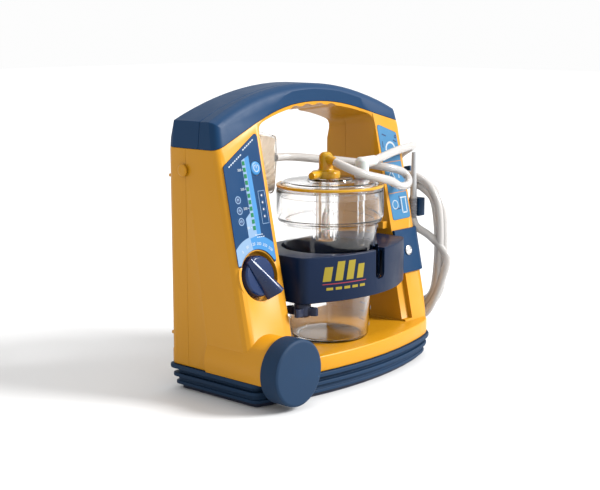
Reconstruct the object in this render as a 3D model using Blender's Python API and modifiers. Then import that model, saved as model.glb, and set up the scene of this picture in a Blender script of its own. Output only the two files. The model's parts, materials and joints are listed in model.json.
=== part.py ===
"""Portable suction pump: a carrying case with a clear canister, its tubes, and the pump inside.

Lengths below are millimetres; every mesh is scaled to metres as it is made.
The front is -Y, the canister bay faces the front, and the underside is z = 0.
"""

import math

import bmesh
import bpy
import numpy as np
from mathutils import Matrix, Vector

MM = 0.001
GAP = 0.3  # clearance between pieces that touch
WALL = 3.0

# Case
HALF_WIDTH = 150.0
HEIGHT = 315.0
REAR_Y = 78.0
FACE_FOOT_Y = -49.8  # the sloping front face, carried down to z = 0
FACE_SLOPE = 0.2136  # how far the front face leans back for each unit of height
FACE_TILT = math.atan(FACE_SLOPE)
EDGE_ROUND = 9.0
TOP_RADIUS = 340.0
TOP_HALF_WIDTH = 147.0
SPLIT_Y = 50.0  # joint plane of the front and rear housings
COVER_SPLIT_Y = 32.0
COVER_SKIN = 3.0
BOW_RADIUS = 417.0  # bowed front of the base, in plan
BOW_APEX_Y = -72.0
BASE_TOP = 44.0
BASE_LIP = 27.3
SKIRT_FOOT = 5.0
SKIRT_INSET = 11.0

# Canister bay and handle
BAY_LEFT = -87.0
BAY_RIGHT = 103.0
BAY_X = 0.5 * (BAY_LEFT + BAY_RIGHT)
GRIP_APEX = 292.5
GRIP_RADIUS = 265.0
GRIP_DROP = 0.15  # fall of the handle's underside towards the rear
# (x, z) where the grip's upright front leaves the sloping face.
# It climbs to the crown and drops at the right column.
GRIP_CREASE = [(-85.3, 277), (-58, 294), (-26, 310.5), (10, 312.5), (50, 308), (84, 297), (101.7, 279)]
HOLLOW_FRONT = 25.5  # foremost reach of the handle's hollow
COVER_RISE = 3.0  # from the underside's front edge up to the edge of the blue covers
FINGERS = 4
FINGER_PITCH = 19.0

# Pump nose
NOSE_X, NOSE_Z, NOSE_RADIUS = -123.0, 39.0, 32.0
NOSE_FRONT, NOSE_BACK = -70.0, 22.0
CAP_RADIUS, CAP_FRONT, CAP_BACK = 34.0, -80.0, -58.0

# Controls on the left column's face
KNOB_X, KNOB_Z = -118.4, 128.4
POCKET_RADIUS, POCKET_DEPTH = 25.5, 10.0
KNOB_POINTER_DEG = 37.0  # left of straight up
BUTTON_X, BUTTON_Z, BUTTON_RADIUS = -100.4, 233.8, 7.2
BUTTON_TRAVEL = 0.8
PANEL = [(-146.3, 140), (-91.5, 139), (-91.2, 270), (-145.2, 239)]
GUIDE = [(109.0, 157), (142.0, 157.5), (138.8, 254), (105.8, 266)]

# Canister and holder
JAR_X, JAR_Y = 1.0, -13.0
JAR_FOOT, JAR_SHOULDER, JAR_RIM = 44.3, 168.0, 204.0
JAR_FOOT_RADIUS, JAR_SHOULDER_RADIUS, COLLAR_RADIUS = 42.2, 51.3, 57.5
JAR_WALL = 2.2
HOLDER_LOW, HOLDER_TOP, HOLDER_BORE = 95.0, 143.0, 52.4
HOLDER_BOW = 148.4
SLOT_X, SLOT_WIDTH, SLOT_FOOT = 18.0, 16.0, 111.0
STAR_X, STAR_Y = -68.5, -35.0
STAR_REACH = 17.5
PATIENT_PORT = (38.0, -27.0)
CAGE_X = -6.0

# Tubes
TUBE_RADIUS = 4.6
COIL_X = (160.6, 178.0)
COIL_Y, COIL_HALF_WIDTH, COIL_BAND = 5.0, 55.0, 18.4
COIL_FOOT, COIL_TOP = 33.0, 210.0
CONNECTOR_X, CONNECTOR_Y = 156.0, -9.5

# Rear of the case
DOOR_X = (112.0, 141.0)
DOOR_Z = (62.0, 190.0)
SCREW_PLACES = [(-134, 60), (-134, 225), (132, 48), (132, 215), (-40, 36), (70, 36)]

FINISHES = {  # colour, roughness, metallic
    "yellow_housing": ((0.90, 0.47, 0.03), 0.38, 0.0),
    "blue_cover": ((0.030, 0.095, 0.20), 0.5, 0.0),
    "blue_rubber": ((0.020, 0.060, 0.13), 0.65, 0.0),
    "navy_plastic": ((0.012, 0.022, 0.075), 0.35, 0.0),
    "panel_print": ((0.01, 0.10, 0.30), 0.4, 0.0),
    "guide_print": ((0.10, 0.38, 0.72), 0.4, 0.0),
    "clear_plastic": ((0.86, 0.88, 0.90), 0.08, 0.0),
    "clear_tube": ((0.88, 0.88, 0.86), 0.2, 0.0),
    "white_plastic": ((0.86, 0.86, 0.84), 0.3, 0.0),
    "yellow_fitting": ((0.93, 0.55, 0.03), 0.3, 0.0),
    "grey_rubber": ((0.35, 0.36, 0.38), 0.6, 0.0),
    "filter_paper": ((0.72, 0.52, 0.33), 0.9, 0.0),
    "steel": ((0.62, 0.62, 0.62), 0.28, 1.0),
    "black_plastic": ((0.015, 0.016, 0.02), 0.4, 0.0),
    "circuit": ((0.02, 0.16, 0.06), 0.45, 0.0),
    "battery_wrap": ((0.05, 0.07, 0.10), 0.5, 0.0),
    "brass": ((0.75, 0.55, 0.22), 0.3, 1.0),
}


# ---------------------------------------------------------------- the scene

def clear_scene():
    for old in list(bpy.data.objects):
        bpy.data.objects.remove(old, do_unlink=True)
    for old in list(bpy.data.collections):
        bpy.data.collections.remove(old)


def new_collection(name):
    found = bpy.data.collections.new(name)
    bpy.context.scene.collection.children.link(found)
    return found


def finish_material(name):
    material = bpy.data.materials.get(name)
    if material is None:
        material = bpy.data.materials.new(name)
        material.use_nodes = True
        colour, roughness, metallic = FINISHES[name]
        shader = material.node_tree.nodes["Principled BSDF"]
        shader.inputs["Base Color"].default_value = (*colour, 1.0)
        shader.inputs["Roughness"].default_value = roughness
        shader.inputs["Metallic"].default_value = metallic
    return material


def add(name, mesh, finish=None):
    """An object from a mesh. With a finish it is a part; without one it is a hidden cutter."""
    obj = bpy.data.objects.new(name, mesh)
    if finish is None:
        CUTTERS.objects.link(obj)
        obj.hide_render = True
        obj.display_type = "WIRE"
    else:
        PARTS.objects.link(obj)
        mesh.materials.clear()
        mesh.materials.append(finish_material(finish))
    return obj


# ------------------------------------------------------------------- shapes

def mesh_from(bm, name, matrix=None):
    bm.transform(Matrix.Scale(MM, 4) @ (matrix or Matrix()))
    mesh = bpy.data.meshes.new(name)
    face_outwards(bm)
    bm.to_mesh(mesh)
    bm.free()
    return mesh


def face_outwards(bm):
    bmesh.ops.recalc_face_normals(bm, faces=bm.faces)
    if bm.calc_volume(signed=True) < 0:
        bmesh.ops.reverse_faces(bm, faces=bm.faces)


def box(name, low, high, finish=None, matrix=None, bevel=0.0):
    low, high = Vector(low), Vector(high)
    bm = bmesh.new()
    bmesh.ops.create_cube(bm, size=1.0)
    size = high - low
    place = Matrix.Translation((low + high) / 2) @ Matrix.Diagonal((*size, 1.0))
    bm.transform(place)
    if bevel:
        bmesh.ops.bevel(bm, geom=bm.edges[:], offset=bevel, segments=2, affect="EDGES", profile=0.5)
    return add(name, mesh_from(bm, name, matrix), finish)


def cylinder(name, start, end, radius, finish=None, end_radius=None, sides=32, matrix=None):
    start, end = Vector(start), Vector(end)
    along = end - start
    bm = bmesh.new()
    bmesh.ops.create_cone(
        bm,
        cap_ends=True,
        segments=sides,
        radius1=radius,
        radius2=radius if end_radius is None else end_radius,
        depth=along.length,
    )
    turn = along.to_track_quat("Z", "Y").to_matrix().to_4x4()
    bm.transform(Matrix.Translation((start + end) / 2) @ turn)
    return add(name, mesh_from(bm, name, matrix), finish)


def turned(name, profile, place, finish=None, sides=48):
    """A turned solid. The profile's (radius, height) points start at the top and run down the outside."""
    mesh = bpy.data.meshes.new(name)
    points = [(r * MM, 0.0, z * MM) for r, z in profile]
    edges = [(i, i + 1) for i in range(len(points) - 1)]
    if profile[0][0] > 0:
        edges.append((len(points) - 1, 0))
    mesh.from_pydata(points, edges, [])
    obj = add(name, mesh, finish)
    screw = obj.modifiers.new("Turn", "SCREW")
    screw.steps = screw.render_steps = sides
    screw.use_merge_vertices = True
    screw.merge_threshold = 0.00001
    screw.use_smooth_shade = False
    solid = evaluated_mesh(obj)
    solid.transform(Matrix.Scale(MM, 4) @ place @ Matrix.Scale(1 / MM, 4))
    obj.modifiers.clear()
    obj.data = solid
    if finish:
        solid.materials.clear()
        solid.materials.append(finish_material(finish))
    return obj


def evaluated_mesh(obj, is_first=True):
    """The object's mesh as its modifiers leave it, with doubled points joined.

    A shape that isn't the result of a cut also has its faces turned outwards.
    """
    bpy.context.view_layer.update()
    graph = bpy.context.evaluated_depsgraph_get()
    mesh = bpy.data.meshes.new_from_object(obj.evaluated_get(graph))
    bm = bmesh.new()
    bm.from_mesh(mesh)
    bmesh.ops.remove_doubles(bm, verts=bm.verts, dist=0.000005)
    if is_first:
        face_outwards(bm)
    bm.to_mesh(mesh)
    bm.free()
    return mesh


def prism(name, loops, low, high, plane="xz", finish=None, bevel=0.0, matrix=None):
    """Flat outlines, filled and extruded from low to high along the plane's normal.

    The first loop is the outer edge and any others are holes. A bevel rounds both rims inwards.
    """
    data = bpy.data.curves.new(name, "CURVE")
    data.dimensions = "2D"
    data.fill_mode = "BOTH"
    data.extrude = ((high - low) / 2 - bevel) * MM
    data.bevel_depth = bevel * MM
    data.bevel_resolution = 2
    data.offset = -bevel * MM
    for loop in loops:
        spline = data.splines.new("POLY")
        spline.points.add(len(loop) - 1)
        for point, (a, b) in zip(spline.points, loop):
            point.co = (a * MM, b * MM, 0.0, 1.0)
        spline.use_cyclic_u = True
    guide = bpy.data.objects.new(name + "_outline", data)
    CUTTERS.objects.link(guide)
    mesh = evaluated_mesh(guide)
    bpy.data.objects.remove(guide)
    turn = {
        "xy": Matrix(((1, 0, 0, 0), (0, 1, 0, 0), (0, 0, 1, 0), (0, 0, 0, 1))),
        "xz": Matrix(((1, 0, 0, 0), (0, 0, 1, 0), (0, 1, 0, 0), (0, 0, 0, 1))),
        "yz": Matrix(((0, 0, 1, 0), (1, 0, 0, 0), (0, 1, 0, 0), (0, 0, 0, 1))),
    }[plane]
    shift = Matrix.Translation((0, 0, (low + high) / 2 * MM))
    mesh.transform(turn @ shift)
    if matrix is not None:
        mesh.transform(Matrix.Scale(MM, 4) @ matrix @ Matrix.Scale(1 / MM, 4))
    bm = bmesh.new()
    bm.from_mesh(mesh)
    face_outwards(bm)
    bm.to_mesh(mesh)
    bm.free()
    return add(name, mesh, finish)


def reshape(obj, rule):
    """Move every point of the mesh by a rule on arrays of x, y and z in millimetres."""
    mesh = obj.data
    points = np.empty(len(mesh.vertices) * 3)
    mesh.vertices.foreach_get("co", points)
    points = points.reshape(-1, 3) / MM
    moved = np.stack(rule(*points.T), axis=1) * MM
    mesh.vertices.foreach_set("co", moved.ravel())
    mesh.update()
    return obj


def combine(target, cutters, operation="DIFFERENCE"):
    """Cut, join or intersect the target with each of the cutters, and keep the result as its mesh."""
    for cutter in cutters:
        change = target.modifiers.new(cutter.name, "BOOLEAN")
        change.operation = operation
        change.solver = "EXACT"
        change.object = cutter
        mesh = evaluated_mesh(target, is_first=False)
        target.modifiers.clear()
        if target.data.materials:
            finish = target.data.materials[0]
            mesh.materials.clear()
            mesh.materials.append(finish)
        target.data = mesh
    for cutter in cutters:
        if cutter.name in CUTTERS.objects:
            continue
        bpy.data.objects.remove(cutter)
    return target


def cut(target, *cutters):
    return combine(target, cutters, "DIFFERENCE")


def join(target, *others):
    return combine(target, others, "UNION")


def keep_inside(target, *others):
    return combine(target, others, "INTERSECT")


def copy_of(obj, name, finish=None):
    return add(name, obj.data.copy(), finish)


def arc(centre, radius, start_deg, end_deg, count):
    angles = np.radians(np.linspace(start_deg, end_deg, count))
    return [(centre[0] + radius * math.cos(a), centre[1] + radius * math.sin(a)) for a in angles]


def rounded(points, radii, steps=4):
    """A closed outline whose corners are rounded, each to its own radius."""
    outline = []
    count = len(points)
    for i, radius in enumerate(radii):
        here = Vector(points[i])
        before = (Vector(points[i - 1]) - here).normalized()
        after = (Vector(points[(i + 1) % count]) - here).normalized()
        if radius <= 0:
            outline.append(tuple(here))
            continue
        half = before.angle(after) / 2
        centre = here + (before + after).normalized() * (radius / math.sin(half))
        first = here + before * (radius / math.tan(half)) - centre
        last = here + after * (radius / math.tan(half)) - centre
        for k in range(steps + 1):
            mixed = first.slerp(last, k / steps)
            outline.append(tuple(centre + mixed.normalized() * radius))
    return outline


def smooth_route(points, spacing):
    """Points at an even spacing along a Catmull-Rom curve through the route's own points."""
    fixed = np.array(points, float)
    fixed = np.vstack([2 * fixed[0] - fixed[1], fixed, 2 * fixed[-1] - fixed[-2]])
    t = np.linspace(0, 1, 24, endpoint=False)[:, None]
    rows = []
    for a, b, c, d in zip(fixed, fixed[1:], fixed[2:], fixed[3:]):
        rows.append(
            0.5 * (2 * b + (c - a) * t + (2 * a - 5 * b + 4 * c - d) * t**2 + (3 * b - a - 3 * c + d) * t**3)
        )
    fine = np.vstack([*rows, fixed[-2:-1]])
    run = np.concatenate([[0], np.cumsum(np.linalg.norm(np.diff(fine, axis=0), axis=1))])
    even = np.linspace(0, run[-1], max(2, int(round(run[-1] / spacing)) + 1))
    return np.stack([np.interp(even, run, fine[:, k]) for k in range(3)], axis=1)


def tube(name, points, radius, finish, spacing=20.0):
    data = bpy.data.curves.new(name, "CURVE")
    data.dimensions = "3D"
    data.bevel_depth = radius * MM
    data.bevel_resolution = 2
    data.use_fill_caps = True
    data.twist_mode = "MINIMUM"
    route = smooth_route(points, spacing)
    spline = data.splines.new("POLY")
    spline.points.add(len(route) - 1)
    for point, place in zip(spline.points, route):
        point.co = (*(place * MM), 1.0)
    guide = bpy.data.objects.new(name + "_line", data)
    CUTTERS.objects.link(guide)
    mesh = evaluated_mesh(guide)
    bpy.data.objects.remove(guide)
    return add(name, mesh, finish)


def put_origin(obj, point):
    """Move a part's origin to a point on its joint's axis, leaving the shape where it is."""
    place = Vector(point) * MM
    obj.data.transform(Matrix.Translation(-place))
    obj.location = place
    return obj


# --------------------------------------------------------- the case's forms

def face_y(z):
    return FACE_FOOT_Y + FACE_SLOPE * z


def face_frame(x, z):
    """A frame on the sloping face: its x runs right, its y up the slope and its z out of the face."""
    c, s = math.cos(FACE_TILT), math.sin(FACE_TILT)
    turn = Matrix(((1, 0, 0, 0), (0, s, -c, 0), (0, c, s, 0), (0, 0, 0, 1)))
    return Matrix.Translation((x, face_y(z), z)) @ turn


def on_face(corners):
    """(x, z) corners as outline points in the face frame at x = 0, z = 0."""
    return [(x, z / math.cos(FACE_TILT)) for x, z in corners]


def plan_outline(grow=0.0, front_right=38.0):
    """The base in plan: straight sides and rear, a bowed front, and rounded corners."""
    half, rear = HALF_WIDTH + grow, REAR_Y + grow
    radius = BOW_RADIUS + grow
    centre_y = BOW_APEX_Y + BOW_RADIUS
    bow = [(x, centre_y - math.sqrt(radius**2 - x**2)) for x in np.linspace(-105, 105, 9)]
    corner_y = centre_y - math.sqrt(radius**2 - half**2)
    points = [(-half, rear), (-half, corner_y), *bow, (half, corner_y), (half, rear)]
    radii = [8 + grow / 2, 10 + grow / 2, *[0] * len(bow), front_right + grow / 2, 8 + grow / 2]
    return rounded(points, [max(r, 2) for r in radii[:2]] + radii[2:])


def tower(name, inset, low, finish=None):
    """The whole silhouette of columns and handle, set in by a distance, with its sloping front."""
    half, top = HALF_WIDTH - inset, TOP_RADIUS - inset
    centre = HEIGHT - TOP_RADIUS
    crown = [(x, centre + math.sqrt(top**2 - x**2)) for x in
             np.linspace(-TOP_HALF_WIDTH + inset, TOP_HALF_WIDTH - inset, 23)]
    outline = [(-half, low), (-half, 252), *crown, (half, 262), (half, low)]
    depth = 60.0
    obj = prism(name, [outline], -depth, depth, "xz", finish, bevel=max(EDGE_ROUND - inset, 2.0))

    def lean(x, y, z):
        front = face_y(z) + inset + (y + depth)
        back = REAR_Y - inset - (depth - y)
        return x, np.where(y < 0, front, back), z

    reshape(obj, lean)
    plan = prism(name + "_plan", [plan_outline(-inset)], 0, 340, "xy")
    slope = 16.0 / 70.0
    wedge = [(REAR_Y - inset + 2, 237), (REAR_Y - inset + 2 - slope * 100, 337), (120, 337), (120, 237)]
    keep_inside(obj, plan)
    return cut(obj, prism(name + "_wedge", [wedge], -180, 180, "yz"))


def grip_arc(rise, count=15):
    """The handle's underside at its front edge, raised by an amount."""
    xs = np.linspace(BAY_LEFT + 14, BAY_RIGHT - 14, count)
    return [(x, GRIP_APEX + rise - (x - BAY_X) ** 2 / (2 * GRIP_RADIUS)) for x in xs]


def bay(name, outset, foot):
    """The opening between the columns, whose top falls towards the rear."""
    left, right = BAY_LEFT - outset, BAY_RIGHT + outset
    corner = GRIP_APEX + outset - (right - BAY_X) ** 2 / (2 * GRIP_RADIUS)
    points = [(left, foot), (left, corner), *grip_arc(outset), (right, corner), (right, foot)]
    radii = [0, 12, *[0] * 15, 12, 0]
    obj = prism(name, [rounded(points, radii, 3)], -110, 110, "xz")
    return reshape(obj, lambda x, y, z: (x, y, np.where(z > 200, z - GRIP_DROP * (y - 12.6), z)))


def cover_region(name, lift):
    """Everything above the line where the blue covers meet the yellow housing."""
    line = [(-180, 242.6), (-150, 254), (-90, 277.4), *grip_arc(COVER_RISE), (105, 278), (150, 266),
            (180, 258)]
    outline = [(x, z + lift) for x, z in line] + [(180, 350), (-180, 350)]
    return prism(name, [outline], -100, 120, "xz")


def half_space(name, low_y, high_y):
    return box(name, (-200, low_y, -10), (200, high_y, 360))


def grip_scoop(name, inset):
    """What is cut from the handle's front, between the columns, so that the grip stands upright there."""
    line = [(x, face_y(z) + inset) for x, z in GRIP_CREASE]
    outline = [(line[0][0] - 30, line[0][1] - 60), line[0], *line[1:-1], line[-1],
               (line[-1][0] + 30, line[-1][1] - 60)]
    return prism(name, [outline], 262, 330, "xy")


# ------------------------------------------------------------------ housing

def case_solid():
    """The closed yellow form: columns, sloped face, handle core and base, before it is hollowed."""
    shell = tower("case_outer", 0.0, BASE_LIP + 2)
    cut(shell, bay("bay_cutter", 0.0, 20))
    covered = copy_of(shell, "cover_blank")
    cut(shell, cover_region("cover_seat", -GAP / 2), grip_scoop("scoop", 0.0))
    cut(covered, grip_scoop("scoop_cover", 0.0))
    core = tower("handle_core", COVER_SKIN + GAP, 236)
    cut(core, bay("bay_cutter_core", 0.0, 20), grip_scoop("scoop_core", COVER_SKIN + GAP))
    join(shell, core)
    slab = prism("base_slab", [plan_outline()], BASE_LIP, BASE_TOP, "xy", bevel=1.5)
    skirt = prism("base_skirt", [plan_outline(-SKIRT_INSET)], SKIRT_FOOT, BASE_LIP + 4, "xy")
    join(shell, slab, skirt)
    return shell, covered


def cavity_block(name, x0, x1, z0, z1, front, rear):
    """A hollow whose front follows the sloping face, at that distance behind it."""
    obj = box(name, (x0, -1, z0), (x1, 1, z1))
    return reshape(obj, lambda x, y, z: (x, np.where(y < 0, face_y(z) + front, rear), z))


def hollow(shell):
    inner_rear = REAR_Y - WALL
    left = cavity_block("left_hollow", -HALF_WIDTH + WALL, BAY_LEFT - WALL, 20, 250, 4.0, inner_rear)
    right = cavity_block("right_hollow", BAY_RIGHT + WALL, HALF_WIDTH - WALL, 106, 252, 4.0, inner_rear)
    right_foot = cavity_block("right_foot_hollow", BAY_RIGHT + WALL, HALF_WIDTH - WALL, 20, 110, 26.0,
                              inner_rear)
    base = prism("base_hollow", [plan_outline(-WALL - 1)], BASE_LIP + 3.5, BASE_TOP - WALL, "xy")
    skirt = prism("skirt_hollow", [plan_outline(-SKIRT_INSET - WALL)], SKIRT_FOOT + WALL, 34, "xy")
    skin = COVER_SKIN + GAP + WALL
    centre = HEIGHT - TOP_RADIUS
    top = TOP_RADIUS - skin
    crown = [(x, centre + math.sqrt(top**2 - x**2)) for x in np.linspace(-138, 138, 15)]
    under = grip_arc(WALL, 11)
    left_side, right_side, shoulder = BAY_LEFT - WALL, BAY_RIGHT + WALL, under[0][1] - 1
    outline = [(-138, 244), *crown, (138, 244), (right_side, 244), (right_side, shoulder), *under[::-1],
               (left_side, shoulder), (left_side, 244)]
    handle = prism("handle_hollow", [outline], -1, 1, "xz")
    reshape(handle, lambda x, y, z: (x,
                                     np.where(y < 0, np.maximum(face_y(z) + skin + 2, HOLLOW_FRONT), 54.0),
                                     z))
    return cut(shell, left, right, right_foot, base, skirt, handle)


def add_nose(shell):
    """The round pump nose, still solid, that stands forward of the left column's foot."""
    clear = cylinder("nose_clearance", (NOSE_X, -110, NOSE_Z), (NOSE_X, CAP_BACK + 0.6, NOSE_Z),
                     CAP_RADIUS + 0.6, sides=48)
    cut(shell, clear)
    nose = cylinder("nose_solid", (NOSE_X, NOSE_FRONT, NOSE_Z), (NOSE_X, NOSE_BACK, NOSE_Z), NOSE_RADIUS,
                    sides=48)
    cut(nose, box("nose_floor", (-200, -120, -20), (-60, 60, BASE_LIP + 0.3)))
    return join(shell, nose)


def bore_nose(shell):
    bore = cylinder("nose_bore", (NOSE_X, NOSE_FRONT + WALL, NOSE_Z), (NOSE_X, NOSE_BACK - WALL, NOSE_Z),
                    NOSE_RADIUS - WALL, sides=48)
    cut(bore, box("bore_floor", (-200, -120, -20), (-60, 60, BASE_LIP + 3.6)))
    return cut(shell, bore)


def cut_face_features(shell):
    """The knob's cup, the seats of both printed panels, and the test button's recess."""
    frame = face_frame(KNOB_X, KNOB_Z)
    cup = cylinder("knob_cup", (0, 0, -POCKET_DEPTH - WALL), (0, 0, -0.5), POCKET_RADIUS + WALL,
                   matrix=frame, sides=40)
    join(shell, cup)
    pocket = cylinder("knob_pocket", (0, 0, -POCKET_DEPTH), (0, 0, 12), POCKET_RADIUS, matrix=frame, sides=40)
    spindle = cylinder("spindle_hole", (0, 0, -40), (0, 0, 5), 4.3, matrix=frame, sides=16)
    panel_seat = panel_prism("panel_seat", PANEL, -0.8, 3, None, 0.3)
    guide_seat = panel_prism("guide_seat", GUIDE, -0.8, 3, None, 0.3)
    recess = cylinder("button_recess", (0, 0, -2.7), (0, 0, 3), BUTTON_RADIUS + 0.4,
                      matrix=face_frame(BUTTON_X, BUTTON_Z), sides=32)
    bracket_hole = cylinder("bracket_hole", (0, 0, -12), (0, 0, 5), 2.4, matrix=face_frame(*BRACKET_SCREW),
                            sides=16)
    return cut(shell, pocket, spindle, panel_seat, guide_seat, recess, bracket_hole)


def panel_prism(name, corners, low, high, finish, grow=0.0):
    middle_x = sum(x for x, _ in corners) / len(corners)
    middle_z = sum(z for _, z in corners) / len(corners)
    grown = [(x + math.copysign(grow, x - middle_x), z + math.copysign(grow, z - middle_z)) for x,
             z in corners]
    outline = rounded(on_face(grown), [3.0] * len(grown), 2)
    bm_frame = face_frame(0, 0)
    return prism(name, [outline], low, high, "xy", finish, matrix=bm_frame)


def cut_rear_features(shell):
    """Screw holes with bosses, the battery opening, the power inlet and the wall of the bay."""
    door = box("door_opening", (DOOR_X[0], REAR_Y - 12, DOOR_Z[0]), (DOOR_X[1], REAR_Y + 5, DOOR_Z[1]))
    inlet = box("inlet_opening", (-132, REAR_Y - 12, 84), (-104, REAR_Y + 5, 104))
    cut(shell, door, inlet)
    for i, (x, z) in enumerate(SCREW_PLACES):
        boss = cylinder(f"boss_{i}", (x, 14, z), (x, REAR_Y - 1, z), 6.0, sides=16)
        join(shell, boss)
        if abs(x) > 100:
            side = math.copysign(HALF_WIDTH - 2, x)
            join(shell, box(f"boss_rib_{i}", (min(x, side), 14, z - 1.5),
                            (max(x, side), REAR_Y - 1, z + 1.5)))
        hole = cylinder(f"screw_hole_{i}", (x, 24, z), (x, REAR_Y + 6, z), 2.0, sides=12)
        sink = cylinder(f"screw_sink_{i}", (x, REAR_Y - 5, z), (x, REAR_Y + 6, z), 4.2, sides=16)
        cut(shell, hole, sink)
    return shell


def add_bay_features(shell):
    """Finger scallops under the handle, the tube rest beside the canister, and the vacuum outlet's hole."""
    start = BAY_X - FINGER_PITCH * (FINGERS - 1) / 2
    scallops = []
    for i in range(FINGERS):
        x = start + i * FINGER_PITCH
        z = GRIP_APEX - (x - BAY_X) ** 2 / (2 * GRIP_RADIUS)
        low = Vector((x, -20, z - 12.4 + GRIP_DROP * 32.6))
        high = Vector((x, 90, z - 12.4 - GRIP_DROP * 77.4))
        scallops.append(cylinder(f"scallop_{i}", low, high, 14.0, sides=32))
    cut(shell, *scallops)
    step = box("column_step", (BAY_RIGHT - 4, -1, BASE_TOP + 2), (BAY_RIGHT + 13, 1, 99))
    cut(shell, reshape(step, lambda x, y, z: (x, face_y(z) + np.where(y < 0, -12.0, 5.0), z)))
    join(shell, box("tube_rest", (BAY_RIGHT - 9, -13, 149), (BAY_RIGHT + 1, 12, 157)))
    port = cylinder("port_hole", (BAY_LEFT - 8, 46 - 5, FILTER_PORT_Z),
                    (BAY_LEFT + 5, 46 - 5, FILTER_PORT_Z), 5.4, sides=24)
    return cut(shell, port)


def build_housings():
    shell, covered = case_solid()
    add_nose(shell)
    hollow(shell)
    bore_nose(shell)
    cut_face_features(shell)
    add_bay_features(shell)
    cut_rear_features(shell)
    front = copy_of(shell, "front_housing", "yellow_housing")
    keep_inside(front, half_space("front_side", -200, SPLIT_Y - GAP / 2))
    rear = copy_of(shell, "rear_housing", "yellow_housing")
    keep_inside(rear, half_space("rear_side", SPLIT_Y + GAP / 2, 200))
    keep_inside(covered, cover_region("cover_band", GAP / 2))
    inside = cut(tower("cover_inside", COVER_SKIN, 236), grip_scoop("scoop_inside", COVER_SKIN))
    cut(covered, inside)
    for name, low, high in (("handle_cover_front", -200, COVER_SPLIT_Y - GAP / 2),
                            ("handle_cover_rear", COVER_SPLIT_Y + GAP / 2, 200)):
        cover = copy_of(covered, name, "blue_cover")
        keep_inside(cover, half_space(name + "_side", low, high))


def build_base():
    """The rubber bumper with its three fins, and the plate that closes the underside."""
    def band(name, grow, low, high):
        return prism(name, [plan_outline(grow), plan_outline(-SKIRT_INSET + GAP)], low, high, "xy")

    bumper = band("bumper_core", -4.5, 5.2, 26.6)
    bumper = copy_of(bumper, "base_bumper", "blue_rubber")
    fins = [band("fin_top", 2.5, 22.6, 27.0), band("fin_middle", 0.0, 13.4, 17.2),
            band("fin_low", -2.5, 4.9, 8.4)]
    join(bumper, *fins)
    cut(bumper, cylinder("bumper_clearance", (NOSE_X, -110, NOSE_Z), (NOSE_X, CAP_BACK + 0.6, NOSE_Z),
                         CAP_RADIUS + 0.6, sides=48))
    prism("base_plate", [plan_outline(-8)], 0, SKIRT_FOOT - 0.4, "xy", "black_plastic", bevel=0.6)


def build_nose_cap():
    profile = [(0, -CAP_FRONT), (CAP_RADIUS - 3, -CAP_FRONT)]
    profile += [(r, z) for r, z in arc((CAP_RADIUS - 3, -CAP_FRONT - 3), 3, 90, 0, 4)][1:]
    profile += [(CAP_RADIUS, -CAP_BACK), (NOSE_RADIUS + 0.4, -CAP_BACK),
                (NOSE_RADIUS + 0.4, -NOSE_FRONT + 0.4),
                (0, -NOSE_FRONT + 0.4)]
    turn = Matrix.Rotation(math.radians(90), 4, "X")
    turned("pump_nose_cap", profile, Matrix.Translation((NOSE_X, 0, NOSE_Z)) @ turn, "blue_rubber")


# ----------------------------------------------------------------- controls

def build_controls():
    panel = panel_prism("control_panel", PANEL, -0.5, 0.3, "panel_print")
    ring = cylinder("panel_knob_cut", (0, 0, -5), (0, 0, 5), POCKET_RADIUS + 1.2,
                    matrix=face_frame(KNOB_X, KNOB_Z), sides=40)
    button_cut = cylinder("panel_button_cut", (0, 0, -5), (0, 0, 5), BUTTON_RADIUS + 0.4,
                          matrix=face_frame(BUTTON_X, BUTTON_Z), sides=32)
    cut(panel, ring, button_cut)
    panel_prism("instruction_panel", GUIDE, -0.5, 0.3, "guide_print")

    frame = face_frame(BUTTON_X, BUTTON_Z)
    button = turned("test_button", [(0, 1.3), (BUTTON_RADIUS - 1.2, 1.0), (BUTTON_RADIUS, 0.3),
                                    (BUTTON_RADIUS, -1.6),
                                    (0, -1.6)], frame, "guide_print", 32)
    put_origin(button, frame.translation)

    frame = face_frame(KNOB_X, KNOB_Z)
    knob = turned("regulator_knob",
                  [(0, 2.0), (18.6, 2.0), (20.6, 0.5), (21.6, -9.5), (5.0, -9.5), (3.4, -9.7),
                                     (3.4, -26), (0, -26)], frame, "panel_print", 40)
    tip, heel = 23.5, 22.5
    grip = [(-4.5, tip - 1), (4.5, tip - 1), (7.5, 6), (11.5, -heel * 0.72), (7, -heel), (-7, -heel),
            (-11.5, -heel * 0.72), (-7.5, 6)]
    turn = Matrix.Rotation(math.radians(KNOB_POINTER_DEG), 4, "Z")
    blade = prism("knob_grip", [grip], 1.0, 15.0, "xy")
    reshape(blade, lambda x, y, z: (x * np.where(z > 5, 0.8, 1.0), y,
                                    np.where(z > 5, np.clip(15.0 - 0.22 * (y + heel), 4.0, 15.0), z)))
    blade.data.transform(Matrix.Scale(MM, 4) @ frame @ turn @ Matrix.Scale(1 / MM, 4))
    join(knob, blade)
    put_origin(knob, frame.translation)

    turned("regulator_valve", [(3.8, -14.5), (13, -14.5), (13, -38), (0, -38), (0, -27), (3.8, -27)][::1],
           frame, "brass", 32)


def build_studs():
    """Buttons for a carrying strap, one on each side of the case."""
    for name, side in (("strap_stud_left", -1), ("strap_stud_right", 1)):
        turn = Matrix.Rotation(math.radians(90 * side), 4, "Y")
        turned(name, [(0, 4.2), (5.0, 4.0), (6.3, 3.0), (6.3, 1.6), (4.0, 1.3), (4.0, GAP), (0, GAP)],
               Matrix.Translation((side * HALF_WIDTH, 52.0 if side < 0 else 40.0, 232)) @ turn,
               "yellow_housing", 24)


# ------------------------------------------------------- canister and holder

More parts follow.
